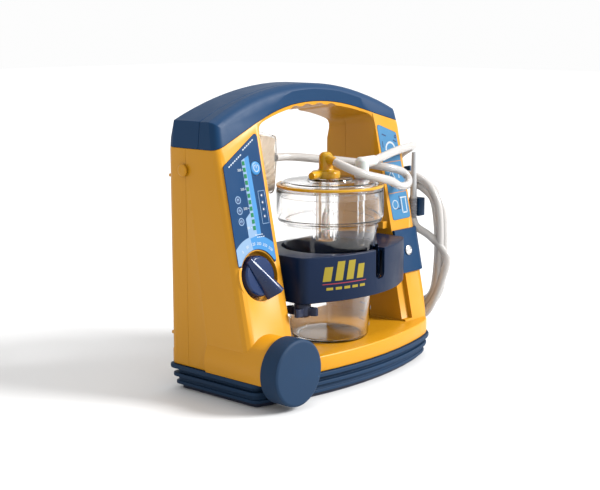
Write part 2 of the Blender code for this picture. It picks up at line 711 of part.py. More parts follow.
def holder_outline(inset):
    centre_x, centre_y = 9.0, 79.0
    radius = HOLDER_BOW - inset
    bow = [(x, centre_y - math.sqrt(radius**2 - (x - centre_x) ** 2)) for x in np.linspace(-58, 80, 9)]
    left, right, rear = -79.0 + inset, 97.0 - inset, 44.0 - inset
    points = [(left, rear), (left, -45.0 + inset), *bow, (right, -42.0 + inset * 0.7), (right, rear)]
    return rounded(points, [30, 12, *[0] * len(bow), 13, 30])


def build_holder():
    holder = prism("canister_holder", [holder_outline(0)], HOLDER_LOW, HOLDER_TOP, "xy", "navy_plastic",
                   bevel=1.2)
    bore = cylinder("holder_bore", (JAR_X, JAR_Y, 80), (JAR_X, JAR_Y, 160), HOLDER_BORE, sides=44)
    wall = cylinder("bore_wall", (JAR_X, JAR_Y, 80), (JAR_X, JAR_Y, 160), HOLDER_BORE + 2.5, sides=44)
    void = prism("holder_void", [holder_outline(2.8)], HOLDER_LOW - 5, HOLDER_TOP - 3, "xy")
    cut(void, wall)
    boss = cylinder("star_boss", (STAR_X, STAR_Y, HOLDER_LOW), (STAR_X, STAR_Y, HOLDER_TOP - 1), 7.5,
                    sides=24)
    cut(holder, void)
    join(holder, boss)
    slot = prism("holder_slot", [rounded([(SLOT_X - SLOT_WIDTH / 2, SLOT_FOOT),
                                          (SLOT_X + SLOT_WIDTH / 2, SLOT_FOOT),
                                          (SLOT_X + SLOT_WIDTH / 2, 170), (SLOT_X - SLOT_WIDTH / 2, 170)],
                                         [6, 6, 0, 0])], -90, -38, "xz")
    stem_hole = cylinder("stem_hole", (STAR_X, STAR_Y, 80), (STAR_X, STAR_Y, 126), 3.4, sides=16)
    cut(holder, bore, slot, stem_hole)

    star = turned("holder_clamp_knob",
                  [(0, 122), (3.0, 122), (3.0, 94.4), (8, 94.4), (9, 92), (9, 82), (7, 80), (0, 80)],
                  Matrix.Translation((STAR_X, STAR_Y, 0)), "black_plastic", 24)
    for i in range(4):
        turn = Matrix.Rotation(math.radians(20 + 90 * i), 4, "Z")
        arm = prism("star_arm", [[(0, -4.5), (12, -4), (STAR_REACH - 1.5, -2.2), (STAR_REACH, 0),
                                  (STAR_REACH - 1.5, 2.2), (12, 4), (0, 4.5)]],
                    82, 90, "xy", matrix=Matrix.Translation((STAR_X, STAR_Y, 0)) @ turn)
        join(star, arm)
    put_origin(star, (STAR_X, STAR_Y, 80))


def build_bracket():
    """The blue bracket that wraps the right column's front corner and carries the holder."""
    outer = tower("bracket_outer", -3.4, 60)
    keep_inside(outer, box("bracket_band", (104, -80, 98), (170, -15.6, 146)))
    bracket = copy_of(outer, "holder_bracket", "blue_cover")
    join(bracket, box("bracket_tab", (HOLDER_TAB_X, -31, 104), (110, -24.5, 138)))
    cut(bracket, tower("bracket_inner", -GAP, 60))
    frame = face_frame(*BRACKET_SCREW)
    cut(bracket, cylinder("bracket_screw_hole", (0, 0, -5), (0, 0, 8), 2.4, matrix=frame, sides=16))
    screw = turned("bracket_screw",
                   [(0, 6.0), (3.6, 5.8), (5.6, 4.6), (5.6, 3.75), (2.0, 3.75), (2.0, -9), (0, -9)],
                   frame, "steel", 24)
    cut(screw, box("screw_slot", (-8, -0.6, 4.9), (8, 0.6, 9), matrix=frame @ Matrix.Rotation(0.5, 4, "Z")))


def jar_place(dx=0.0, dy=0.0):
    return Matrix.Translation((JAR_X + dx, JAR_Y + dy, 0))


def build_canister():
    w = JAR_WALL
    turned("canister", [
        (0, JAR_FOOT + w), (JAR_FOOT_RADIUS - w - 1, JAR_FOOT + w), (JAR_SHOULDER_RADIUS - w, JAR_SHOULDER),
        (COLLAR_RADIUS - w, JAR_SHOULDER + 6), (COLLAR_RADIUS - w, JAR_RIM), (COLLAR_RADIUS, JAR_RIM),
        (COLLAR_RADIUS, JAR_SHOULDER + 8), (COLLAR_RADIUS - 1.5, JAR_SHOULDER + 3.5),
        (JAR_SHOULDER_RADIUS, JAR_SHOULDER),
        (JAR_FOOT_RADIUS, JAR_FOOT + 3), (JAR_FOOT_RADIUS - 2, JAR_FOOT), (0, JAR_FOOT)],
        jar_place(), "clear_plastic", 44)

    rim = COLLAR_RADIUS
    lid = turned("canister_lid", [
        (0, 216), (23.6, 216), (25, 213), (rim - 8, 213), (rim - 5, 211), (rim - 5, 206.7),
        (rim - 0.5, 206.7),
        (rim - 0.5, 204.4), (rim - 2.6, 204.4), (rim - 2.6, 197), (rim - 4.8, 197), (rim - 5.8, 205),
        (rim - 9, 210.5),
        (23.2, 210.5), (22, 213.6), (0, 213.6)], jar_place(), "clear_plastic", 44)
    x, y = PATIENT_PORT
    join(lid, cylinder("inlet_pipe", (x, y, 140), (x, y, 212), 4.2, sides=20))
    hub_x = CAGE_X
    cut(lid, cylinder("inlet_bore", (x, y, 130), (x, y, 220), 2.8, sides=20),
        cylinder("vacuum_bore", (hub_x, JAR_Y, 205), (hub_x, JAR_Y, 225), 5.0, sides=24))

    turned("lid_ring", [(rim, 209.8), (rim, 207.0), (rim - 4.7, 207.0), (rim - 4.7, 209.8)], jar_place(),
           "yellow_fitting", 44)

    cage = turned("float_cage", [(0, 152.5), (11.6, 152.5), (11.6, 213.3), (13.8, 213.3), (13.8, 150),
                                 (0, 150)],
                  Matrix.Translation((CAGE_X, JAR_Y, 0)), "clear_plastic", 32)
    cut(cage, box("cage_slot_x", (CAGE_X - 30, JAR_Y - 4, 162), (CAGE_X + 30, JAR_Y + 4, 200)),
        box("cage_slot_y", (CAGE_X - 4, JAR_Y - 30, 162), (CAGE_X + 4, JAR_Y + 30, 200)))
    ball = turned("float_ball", [(0, 178), (3, 178), (4, 174), (9, 171), (9.6, 164), (9, 158), (6, 153.2),
                                 (0, 153.0)],
                  Matrix.Translation((CAGE_X, JAR_Y, 0)), "white_plastic", 24)
    put_origin(ball, (CAGE_X, JAR_Y, 153))


def build_elbows():
    x, y = CAGE_X, JAR_Y
    place = Matrix.Translation((x, y, 0))
    elbow = turned("vacuum_elbow", [(0, 244.5), (4.5, 244), (7.2, 241), (7.6, 236), (7.6, 226), (15, 224),
                                    (15, 216.4),
                                    (4.6, 216.4), (4.6, 213.9), (0, 213.9)], place, "yellow_fitting", 32)
    stub = cylinder("elbow_stub", (x, y, 221.2), (x - 29, y - 5, 221.2), 4.4, sides=20)
    spout = cylinder("elbow_spout", (x, y, 237.2), VACUUM_ROUTE[0], 6.0, end_radius=4.4, sides=20)
    join(elbow, stub, spout)

    px, py = PATIENT_PORT
    white = turned("patient_elbow",
                   [(0, 236.4), (5, 235.6), (7.4, 232.5), (7.4, 218), (8.4, 217.4), (8.4, 213.4),
                    (2.6, 213.4),
                                     (2.6, 209), (0, 209)], Matrix.Translation((px, py, 0)),
                                     "white_plastic", 32)
    join(white, cylinder("elbow_arm", (px, py, 229.6), PATIENT_ROUTE[0], 6.6, end_radius=5.6, sides=24))


# ------------------------------------------------------------------- filter

def build_filter():
    outline = rounded([(-83.5, 197), (-27, 197), (-22.5, 236), (-23.5, 259), (-62, 268), (-83.5, 268)],
                      [6, 6, 3, 5, 6, 4], 3)
    inner = rounded([(-81.7, 198.8), (-28.6, 198.8), (-24.3, 236), (-25.3, 257.6), (-62.3, 266.2),
                     (-81.7, 266.2)],
                    [5, 5, 2, 4, 5, 3], 3)
    front = prism("filter_case_front", [outline], FILTER_Y - 7.0, FILTER_Y - GAP / 2, "xz", "clear_plastic",
                  bevel=1.0)
    cut(front, prism("filter_inside_front", [inner], FILTER_Y - 5.2, 70, "xz"))
    z = FILTER_PORT_Z
    spigot = cylinder("filter_spigot", (-24.5, FILTER_Y - 3.5, z),
                      (VACUUM_ROUTE[-1][0] - 2.0, FILTER_Y - 3.5, z), 3.2, sides=20)
    join(front, spigot)
    rear = prism("filter_case_rear", [outline], FILTER_Y + GAP / 2, FILTER_Y + 7.0, "xz", "clear_plastic",
                 bevel=1.0)
    cut(rear, prism("filter_inside_rear", [inner], 20, FILTER_Y + 5.2, "xz"))
    media = rounded([(-81, 199.5), (-29.2, 199.5), (-25, 236), (-26, 257), (-62.3, 265.5), (-81, 265.5)],
                    [4, 4, 2, 3, 4, 2], 3)
    prism("filter_media", [media], FILTER_Y - 4.8, FILTER_Y + 4.8, "xz", "filter_paper")
    port = cylinder("vacuum_port", (BAY_LEFT - 12, 41, z), (BAY_LEFT + 3.2, 41, z), 5.0, "white_plastic",
                    sides=24)
    join(port, cylinder("port_flange", (BAY_LEFT + GAP, 41, z), (BAY_LEFT + 3.2, 41, z), 8.0, sides=24))


# -------------------------------------------------------------------- tubes

FILTER_PORT_Z = 235.0
FILTER_Y = 48.5
BRACKET_SCREW = (123.6, 121.5)
HOLDER_TAB_X = 97.4
VACUUM_ROUTE = [(-8, -28, 234.5), (-7, -40, 230.5), (-1, -51, 225.5), (10, -57, 221), (28, -61, 216.5),
                (42, -62, 213), (56, -58, 208.5),
                (78, -48, 202.5), (101, -39, 200), (118, -30, 200.5), (127, -22.5, 205), (124, -18.5, 211),
                (112, -17, 215.5), (99, -13.5, 218.5), (80, 0, 223), (55, 14, 227.5), (28, 27, 231),
                (5, 40, 234), (-9, 45, 235)]
PATIENT_ROUTE = [(60, -26, 230.5), (78, -23, 232.5), (98, -20.5, 235.5), (120, -19, 238.5), (140, -17, 240),
                 (156, -10, 239), (166, 3, 234.5), (169.5, 20, 225)]


def coil_arc(angle_deg, lift):
    """A point beside the coil's rounded top, at an angle from straight up towards the rear."""
    radius = COIL_HALF_WIDTH + lift
    centre_z = COIL_TOP - COIL_HALF_WIDTH
    angle = math.radians(angle_deg)
    return (0.5 * (COIL_X[0] + COIL_X[1]), COIL_Y + radius * math.sin(angle),
            centre_z + radius * math.cos(angle))


def coil_outline(inset):
    radius = COIL_HALF_WIDTH - inset
    top = arc((COIL_Y, COIL_TOP - COIL_HALF_WIDTH), radius, 0, 180, 17)
    foot = arc((COIL_Y, COIL_FOOT + COIL_HALF_WIDTH), radius, 180, 360, 17)
    return top + foot


def build_tubes():
    tube("vacuum_tube", [shift_from(VACUUM_ROUTE[0], VACUUM_ROUTE[1], 1.8), *VACUUM_ROUTE[1:]], TUBE_RADIUS,
         "clear_tube", 12)
    over = [coil_arc(a, TUBE_RADIUS + 0.5) for a in (36, 52, 68)]
    tube("patient_tube", [shift_from(PATIENT_ROUTE[0], PATIENT_ROUTE[1], 1.0), *PATIENT_ROUTE[1:], *over],
         TUBE_RADIUS, "clear_tube", 12)
    prism("patient_tube_coil", [coil_outline(0), coil_outline(COIL_BAND)], *COIL_X, "yz", "clear_tube")
    x, y = CONNECTOR_X, CONNECTOR_Y
    beside = COIL_X[0] - TUBE_RADIUS - GAP
    tube("patient_tube_end", [(x, y, 153.4), (x, y - 0.5, 130), (x + 0.2, y - 2, 100), (beside, y - 4, 76),
                              (beside, y - 4, 58), (beside, y - 1, 45), (beside, y + 8, 36),
                              (beside, y + 20, 34)],
         TUBE_RADIUS, "clear_tube", 12)


def shift_from(point, towards, distance):
    start, end = Vector(point), Vector(towards)
    return tuple(start + (end - start).normalized() * distance)


def saddle_outline(centre_z, middle_deg, spread_deg, inner, outer):
    """A sector that hugs the inside of the coil's rounded end; angles are from straight up towards the rear."""
    centre = (COIL_Y, centre_z)
    first, last = 90 - middle_deg - spread_deg, 90 - middle_deg + spread_deg
    return arc(centre, outer, first, last, 9) + arc(centre, inner, last, first, 9)


def build_tube_holder():
    plate_x = (153.9, 157.2)
    holder = box("tube_holder", (plate_x[0], 0, 52), (plate_x[1], 32, 192), "blue_cover", bevel=0.8)
    outer_x = COIL_X[1] + 2.8
    inner = COIL_HALF_WIDTH - COIL_BAND - 0.4
    for end, z, middle in (("upper", COIL_TOP - COIL_HALF_WIDTH, 20),
                           ("lower", COIL_FOOT + COIL_HALF_WIDTH, 160)):
        saddle = saddle_outline(z, middle, 26, inner - 4.0, inner)
        lip = saddle_outline(z, middle, 12, inner - 3.5, COIL_HALF_WIDTH + 2.5)
        join(holder, prism(end + "_saddle", [saddle], 156, outer_x, "yz"),
             prism(end + "_lip", [lip], COIL_X[1] + 0.4, outer_x, "yz"))
    for z in (75, 172):
        join(holder, cylinder("holder_foot", (HALF_WIDTH + GAP, 16, z), (155, 16, z), 7, sides=24))
    clip = box("tube_clip", (159.6, -15, 156), (171.5, -GAP, 177), "blue_cover", bevel=0.6)
    x, y = CONNECTOR_X, CONNECTOR_Y
    join(clip, box("clip_arm", (154.2, -5.2, 160), (162, -GAP, 173)))
    cut(clip, cylinder("clip_bore", (x, y, 150), (x, y, 190), 4.9, sides=24))
    place = Matrix.Translation((x, y, 0))
    turned("connector_sleeve", [(3.2, 176.5), (4.3, 176.5), (4.6, 174.5), (4.1, 173), (4.6, 171),
                                (4.1, 169.5), (4.6, 167.5),
                                (4.1, 166), (4.6, 164), (4.1, 162.5), (4.6, 160.5), (4.1, 159), (4.6, 157),
                                (4.3, 153.9),
                                (3.2, 153.9)], place, "grey_rubber", 16)
    turned("patient_connector", [(1.7, 231), (2.7, 231), (3.9, 179), (4.4, 178.6), (4.4, 176.9),
                                 (2.9, 176.9), (2.8, 160),
                                 (1.9, 160)], place, "clear_plastic", 16)


# ------------------------------------------------------------------- inside

def build_inside():
    axis_x, axis_z = -120.0, 36.0
    turn = Matrix.Translation((axis_x, 0, axis_z)) @ Matrix.Rotation(math.radians(90), 4, "X")
    cylinder("pump_motor", (axis_x, -2, axis_z), (axis_x, 46, axis_z), 17.0, "steel", sides=32)
    turned("pump_head", [(0, 34), (18, 34), (20, 32), (20, 8), (14.8, 8), (14.8, 30), (0, 30)], turn,
           "black_plastic", 32)
    rotor = turned("pump_rotor", [(0, 27), (14, 27), (14, 12), (2.5, 12), (2.5, 2.3), (0, 2.3)], turn,
                   "steel", 32)
    for i in range(4):
        slot = box(f"vane_slot_{i}", (-0.8, 8, 9), (0.8, 20, 40),
                   matrix=turn @ Matrix.Rotation(i * math.pi / 2, 4, "Z"))
        cut(rotor, slot)
    put_origin(rotor, (axis_x, 0, axis_z))
    box("battery_pack", (110, 8, 62), (143, 72, 188), "battery_wrap", bevel=1.5)
    frame = face_frame(-119, 205)
    box("circuit_board", (-24, -34, -12), (24, 38, -10.4), "circuit", matrix=frame)
    tube("vacuum_hose", [(BAY_LEFT - 13.2, 41, FILTER_PORT_Z), (-108, 41, 234), (-116, 42, 222),
                         (-120, 42, 200),
                         (-122, 40, 165), (-122, 36, 130), (-121, 20, 108), (-120, -6, 94),
                         (-120, -20, 76), (-120, -22, 57.2)], 3.6, "grey_rubber", 12)


def build_rear():
    door = box("battery_door", (DOOR_X[0] + 0.4, REAR_Y - 2.6, DOOR_Z[0] + 0.9),
               (DOOR_X[1] - 0.4, REAR_Y, DOOR_Z[1] - 0.5),
               "yellow_housing", bevel=0.4)
    put_origin(door, (0.5 * sum(DOOR_X), REAR_Y - 1.3, DOOR_Z[0] + 2.2))
    inlet = box("power_inlet", (-131.6, REAR_Y - 14, 84.4), (-104.4, REAR_Y - 0.2, 103.6), "black_plastic",
                bevel=0.8)
    cut(inlet, cylinder("inlet_socket", (-118, REAR_Y - 11, 94), (-118, REAR_Y + 2, 94), 6.5, sides=24))
    for i, (x, z) in enumerate(SCREW_PLACES):
        turn = Matrix.Rotation(math.radians(-90), 4, "X")
        place = Matrix.Translation((x, REAR_Y, z)) @ turn
        screw = turned(f"housing_screw_{i + 1}",
                       [(0, -2.0), (3.6, -2.0), (3.8, -2.4), (3.8, -4.6), (1.6, -4.6), (1.6, -50),
                                                  (0, -50)], place, "steel", 16)
        cut(screw, box(f"driver_slot_{i}", (-2.4, -0.5, -3.2), (2.4, 0.5, 2), matrix=place))


clear_scene()
PARTS = new_collection("suction_pump")
CUTTERS = new_collection("cutters")
build_housings()
build_base()
build_nose_cap()
build_controls()
build_studs()
build_holder()
build_bracket()
build_canister()
build_elbows()
build_filter()
build_tubes()
build_tube_holder()
build_inside()
build_rear()
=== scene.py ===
"""Looks of the portable suction pump: finishes, printed panels, clear ware, tubes and a plain studio."""

import json
import math

import bmesh
import bpy
import numpy as np
from bpy.props import FloatProperty, FloatVectorProperty, IntProperty, PointerProperty
from mathutils import Matrix, Vector


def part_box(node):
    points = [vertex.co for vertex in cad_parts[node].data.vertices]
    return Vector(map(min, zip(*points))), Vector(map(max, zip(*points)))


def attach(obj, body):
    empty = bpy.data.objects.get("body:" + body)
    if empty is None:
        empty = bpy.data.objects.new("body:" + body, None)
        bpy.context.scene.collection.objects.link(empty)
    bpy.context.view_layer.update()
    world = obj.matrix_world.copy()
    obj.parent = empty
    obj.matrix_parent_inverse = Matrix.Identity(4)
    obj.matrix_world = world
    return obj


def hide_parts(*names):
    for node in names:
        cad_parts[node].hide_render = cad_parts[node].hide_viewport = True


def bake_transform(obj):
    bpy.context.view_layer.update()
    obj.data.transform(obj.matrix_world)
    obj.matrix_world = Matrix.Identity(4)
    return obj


bl_info = {
    "name": "Portable suction pump looks",
    "version": (1, 0, 0),
    "blender": (4, 5, 0),
    "location": "View3D > Sidebar > Pump",
    "description": "Builds the visible pieces and finishes of a portable suction pump",
    "category": "Object",
}

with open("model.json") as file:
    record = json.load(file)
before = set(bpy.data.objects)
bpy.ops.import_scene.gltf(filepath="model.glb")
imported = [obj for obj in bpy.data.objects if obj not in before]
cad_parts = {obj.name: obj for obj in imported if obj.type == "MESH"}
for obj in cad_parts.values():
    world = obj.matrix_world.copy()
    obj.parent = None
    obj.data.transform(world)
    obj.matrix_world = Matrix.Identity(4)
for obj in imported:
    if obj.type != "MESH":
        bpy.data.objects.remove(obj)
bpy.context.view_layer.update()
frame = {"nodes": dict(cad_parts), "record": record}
NODES = frame["nodes"]
MM = 0.001

# The sloping front face: how far it leans back for each unit of height, and its foot at z = 0.
FACE_SLOPE = 0.2136
FACE_FOOT_Y = -49.8
FACE_TILT = math.atan(FACE_SLOPE)
KNOB = (-118.4, 128.4)
KNOB_POINTER = math.radians(37)
BUTTON = (-100.4, 233.8)
GRIP_HEEL, GRIP_LENGTH = -22.4, 45.6
DIAL_INNER, DIAL_OUTER = 27.2, 40.5
PLEAT_DEPTH = 1.3  # from the crest of a fold to its valley
PANEL_SIDES = (-145.9, -91.9)

# Tubes, in millimetres: the routes run from the lid's elbows.
TUBE_DIAMETER = 9.2
VACUUM_ROUTE = [
    (-8, -28, 234.5), (-7, -40, 230.5), (-1, -51, 225.5), (10, -57, 221), (28, -61, 216.5), (42, -62, 213),
    (56, -58, 208.5), (78, -48, 202.5), (101, -39, 200), (118, -30, 200.5), (127, -22.5, 205),
    (124, -18.5, 211),
    (112, -17, 215.5), (99, -13.5, 218.5), (80, 0, 223), (55, 14, 227.5), (28, 27, 231), (5, 40, 234),
    (-9, 45, 235), (-22, 45.4, 235),
]
PATIENT_ROUTE = [
    (60, -26, 230.5), (78, -23, 232.5), (98, -20.5, 235.5), (120, -19, 238.5), (140, -17, 240),
    (156, -10, 239),
    (166, 3, 234.5), (169.5, 20, 225),
]
COIL_Y, COIL_FOOT, COIL_TOP, COIL_HALF_WIDTH = 5.0, 33.0, 210.0, 55.0
COIL_START, COIL_TURNS = math.radians(70), 3.46
COIL_HALF_WIDTHS = (50.4, 40.5, 40.0, 50.6, 59.0)
COIL_SIDES = (177.4, 176.6, 166.6, 166.2, 164.0)
COIL_LEAD = [(172.5, 36, 207), (175.3, 46, 190)]
CONNECTOR_LEAD = [(167.5, -50, 102), (166.5, -44.5, 119), (162.5, -29, 134), (158.2, -13.5, 143.5),
    (156, -9.5, 153.4)]

# The canister's side below its collar: a cone from the foot to the shoulder.
JAR_FOOT_RADIUS, JAR_SHOULDER_RADIUS = 42.2, 51.3
JAR_CONE_FOOT, JAR_CONE_HEIGHT = 47.3, 120.7

# The canister holder's front is an arc seen from above.
HOLDER_BOW, HOLDER_BOW_X, HOLDER_BOW_Y = 148.4, 9.0, 79.0

# Studio: angles in degrees and places in metres.
CAMERA_LENS, CAMERA_PITCH, CAMERA_AZIMUTH = 73.75, 10.18, 48.43
CAMERA_PLACE = (-0.9953, -0.8538, 0.3769)
EXPOSURE, WORLD_STRENGTH = 0.33, 0.78
SUN_FROM, SUN_STRENGTH, SUN_SPREAD = (1.5, -2.1, 1.5), 5.0, 22


def centre_of(node):
    """The middle of a CAD node's box, in millimetres."""
    low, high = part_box(node)
    return (np.array(low) + np.array(high)) / 2 / MM


def jar_radius(z):
    """The canister's outer radius at height z, below its collar."""
    return JAR_FOOT_RADIUS + (JAR_SHOULDER_RADIUS - JAR_FOOT_RADIUS) * (z - JAR_CONE_FOOT) / JAR_CONE_HEIGHT


def top_of(node):
    """The highest corner of a CAD node's box, in millimetres."""
    return np.array(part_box(node)[1]) / MM


def foot_of(node):
    """The lowest corner of a CAD node's box, in millimetres."""
    return np.array(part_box(node)[0]) / MM


# ------------------------------------------------------------------ settings

class PumpSizes(bpy.types.PropertyGroup):
    edge: FloatProperty(name="Edge radius", description="Rounding of moulded edges", default=0.0009,
        unit="LENGTH")
    ring_sides: IntProperty(name="Round sides", description="Sides of a turned piece", default=96, min=24)
    pleats: IntProperty(name="Pleats", description="Folds in the filter paper", default=15, min=6)
    tube_sides: IntProperty(name="Tube sides", description="Sides of a tube's section", default=24, min=8)


def colour(name, description, value):
    return FloatVectorProperty(name=name, description=description, default=value, subtype="COLOR", size=3,
        min=0, max=1)


class PumpColours(bpy.types.PropertyGroup):
    yellow: colour("Yellow", "Moulded housing", (0.45, 0.20, 0.005))
    blue: colour("Blue", "Handle covers and bracket", (0.002, 0.026, 0.074))
    rubber: colour("Rubber blue", "Bumper and pump nose", (0.005, 0.022, 0.054))
    navy: colour("Navy", "Canister holder", (0.002, 0.009, 0.030))
    knob: colour("Knob blue", "Regulator knob", (0.001, 0.014, 0.062))
    panel: colour("Panel blue", "Printed control panel", (0.0015, 0.028, 0.085))
    sky: colour("Sky blue", "Printed bar and dial", (0.024, 0.145, 0.33))
    pale: colour("Pale blue", "Printed pale zone", (0.14, 0.225, 0.34))
    guide: colour("Guide blue", "Printed instruction panel", (0.03, 0.135, 0.26))
    fitting: colour("Fitting yellow", "Elbow and lid ring", (0.42, 0.215, 0.004))
    paper: colour("Filter paper", "Pleated filter", (0.60, 0.49, 0.37))


def sizes():
    return bpy.context.scene.pump_sizes


def colours():
    return bpy.context.scene.pump_colours


# -------------------------------------------------------------------- meshes

def make_object(name, vertices, faces, smooth_angle=35.0):
    """An object from points in millimetres, with doubled points merged and its faces turned outwards."""
    mesh = bpy.data.meshes.new(name)
    mesh.from_pydata(np.asarray(vertices, float) * MM, [], faces)
    tidy(mesh)
    obj = bpy.data.objects.new(name, mesh)
    bpy.context.scene.collection.objects.link(obj)
    shade(mesh, smooth_angle)
    return obj


def tidy(mesh, dissolve=0.0):
    bm = bmesh.new()
    bm.from_mesh(mesh)
    bmesh.ops.remove_doubles(bm, verts=bm.verts, dist=2e-6)
    if dissolve:
        bmesh.ops.dissolve_limit(bm, angle_limit=dissolve, verts=bm.verts, edges=bm.edges)
    bmesh.ops.recalc_face_normals(bm, faces=bm.faces)
    if bm.calc_volume(signed=True) < 0:
        bmesh.ops.reverse_faces(bm, faces=bm.faces)
    bm.to_mesh(mesh)
    bm.free()


def shade(mesh, smooth_angle):
    mesh.polygons.foreach_set("use_smooth", [True] * len(mesh.polygons))
    mesh.set_sharp_from_angle(angle=math.radians(smooth_angle))


def surface(name, points, round_rows=False, round_columns=False, caps=False, smooth_angle=35.0):
    """An object from a grid of points. Rows and columns may close on themselves, and ends may be capped."""
    rows, columns = points.shape[:2]
    index = np.arange(rows * columns).reshape(rows, columns)
    ends = [index[0], index[-1]]
    if round_rows:
        index = np.vstack([index, index[:1]])
    if round_columns:
        index = np.hstack([index, index[:, :1]])
    quads = np.stack([index[:-1, :-1], index[:-1, 1:], index[1:, 1:], index[1:, :-1]], axis=-1).reshape(-1, 4)
    faces = quads.tolist()
    if caps:
        faces += [ends[0][::-1].tolist(), ends[1].tolist()]
    return make_object(name, points.reshape(-1, 3), faces, smooth_angle)


def softened(profile, radius, steps=3):
    """A profile with each corner rounded: the corner is replaced by an arc tangent to both of its sides."""
    points = np.asarray(profile, float)
    out = [points[:1]]
    for before, corner, after in zip(points, points[1:], points[2:]):
        a, b = before - corner, after - corner
        la, lb = np.linalg.norm(a), np.linalg.norm(b)
        reach = min(radius, 0.45 * la, 0.45 * lb)
        t = np.linspace(0, 1, steps + 2)[:, None]
        first, last = corner + a / la * reach, corner + b / lb * reach
        out.append((1 - t) ** 2 * first + 2 * t * (1 - t) * corner + t**2 * last)
    out.append(points[-1:])
    return np.vstack(out)


def lathe(name, profile, place=None, closed=False, rounding=0.5, smooth_angle=40.0):
    """A turned surface: each (radius, height) point sweeps a circle, (r cos a, r sin a, h), at its place."""
    if closed:
        profile = list(profile) + [profile[0], profile[1]]
    path = softened(profile, rounding)
    if closed:
        path = path[1:-1]
    angle = np.linspace(0, 2 * np.pi, sizes().ring_sides, endpoint=False)
    r, h = path[:, :1], path[:, 1:]
    points = np.stack([r * np.cos(angle), r * np.sin(angle), h + 0 * angle], axis=-1)
    if place is not None:
        points = placed(points, place)
    return surface(name, points, round_rows=closed, round_columns=True, smooth_angle=smooth_angle)


def placed(points, matrix):
    m = np.array(matrix)
    return points @ m[:3, :3].T + m[:3, 3]


def upright(node, dx=0.0, dy=0.0):
    x, y, _ = centre_of(node)
    return Matrix.Translation((x + dx, y + dy, 0))


def smooth_route(points, spacing):
    """Points at an even spacing along the Catmull-Rom curve through the given ones."""
    fixed = np.array(points, float)
    fixed = np.vstack([2 * fixed[0] - fixed[1], fixed, 2 * fixed[-1] - fixed[-2]])
    t = np.linspace(0, 1, 24, endpoint=False)[:, None]
    rows = [
        0.5 * (2 * b + (c - a) * t + (2 * a - 5 * b + 4 * c - d) * t**2 + (3 * b - a - 3 * c + d) * t**3)
        for a, b, c, d in zip(fixed, fixed[1:], fixed[2:], fixed[3:])
    ]
    fine = np.vstack([*rows, fixed[-2:-1]])
    run = np.concatenate([[0], np.cumsum(np.linalg.norm(np.diff(fine, axis=0), axis=1))])
    even = np.linspace(0, run[-1], int(round(run[-1] / spacing)) + 1)
    return np.stack([np.interp(even, run, fine[:, k]) for k in range(3)], axis=1), run[-1]


def sweep(name, path, radii, sides=28, caps=True):
    """A round surface carried along a path: at each point a circle of that radius, square to the path.

    The circle's first direction is carried along with the least turn, so the surface doesn't twist."""
    path = np.asarray(path, float)
    ahead = np.gradient(path, axis=0)
    ahead /= np.linalg.norm(ahead, axis=1, keepdims=True)
    side = [np.cross(ahead[0], np.roll(ahead[0], 1) + (0.3, 0.1, 0.0))]
    for direction in ahead:
        carried = side[-1] - direction * (side[-1] @ direction)
        side.append(carried / np.linalg.norm(carried))
    side = np.array(side[1:])
    over = np.cross(side, ahead)
    angle = np.linspace(0, 2 * np.pi, sides, endpoint=False)[None, :, None]
    radii = np.broadcast_to(np.asarray(radii, float), len(path))[:, None, None]
    points = path[:, None] + radii * (np.cos(angle) * side[:, None] + np.sin(angle) * over[:, None])
    return surface(name, points, round_columns=True, caps=caps)


def joined(name, *objects):
    """One object from several meshes, unjoined at their seams."""
    bm = bmesh.new()
    for obj in objects:
        bm.from_mesh(obj.data)
    mesh = bpy.data.meshes.new(name)
    bm.to_mesh(mesh)
    bm.free()
    for obj in objects:
        bpy.data.objects.remove(obj)
    result = bpy.data.objects.new(name, mesh)
    bpy.context.scene.collection.objects.link(result)
    shade(mesh, 38)
    return result


def rounded_copy(node, width=None, segments=2, limit=32.0, name=None):
    """A CAD node's own shape, its doubled points merged, flat faces joined and sharp edges rounded."""
    mesh = NODES[node].data.copy()
    mesh.materials.clear()
    tidy(mesh, dissolve=math.radians(0.4))
    obj = bpy.data.objects.new(name or node + "_finished", mesh)
    bpy.context.scene.collection.objects.link(obj)
    shade(mesh, 34)
    bevel = obj.modifiers.new("Edges", "BEVEL")
    bevel.width = width or sizes().edge
    bevel.segments = segments
    bevel.limit_method = "ANGLE"
    bevel.angle_limit = math.radians(limit)
    bevel.use_clamp_overlap = True
    bevel.harden_normals = False
    bevel.miter_outer = "MITER_ARC"
    return obj


def keep(obj, material, body, *nodes, slot=None):
    """Gives a piece its material and its body, and hides the CAD nodes that it stands for."""
    obj.data.materials.clear()
    obj.data.materials.append(material)
    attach(obj, body)
    if nodes:
        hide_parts(*nodes)
    return obj


# ------------------------------------------------------------- shader helper

class Value:
    """A shader socket that takes part in Python arithmetic by adding Math nodes."""

    def __init__(self, tree, socket):
        self.tree, self.socket = tree, socket

    def math(self, operation, *others):
        node = self.tree.nodes.new("ShaderNodeMath")
        node.operation = operation
        for slot, item in zip(node.inputs, (self, *others)):
            connect(self.tree, item, slot)
        return Value(self.tree, node.outputs[0])

    def flipped(self, operation, other):
        node = self.tree.nodes.new("ShaderNodeMath")
        node.operation = operation
        connect(self.tree, other, node.inputs[0])
        connect(self.tree, self, node.inputs[1])
        return Value(self.tree, node.outputs[0])

    def __add__(self, other):
        return self.math("ADD", other)

    __radd__ = __add__

    def __sub__(self, other):
        return self.math("SUBTRACT", other)

    def __rsub__(self, other):
        return self.flipped("SUBTRACT", other)

    def __mul__(self, other):
        return self.math("MULTIPLY", other)

    __rmul__ = __mul__

    def __truediv__(self, other):
        return self.math("DIVIDE", other)

    def __rtruediv__(self, other):
        return self.flipped("DIVIDE", other)

    def clamped(self, low=0.0, high=1.0):
        return self.math("MAXIMUM", low).math("MINIMUM", high)


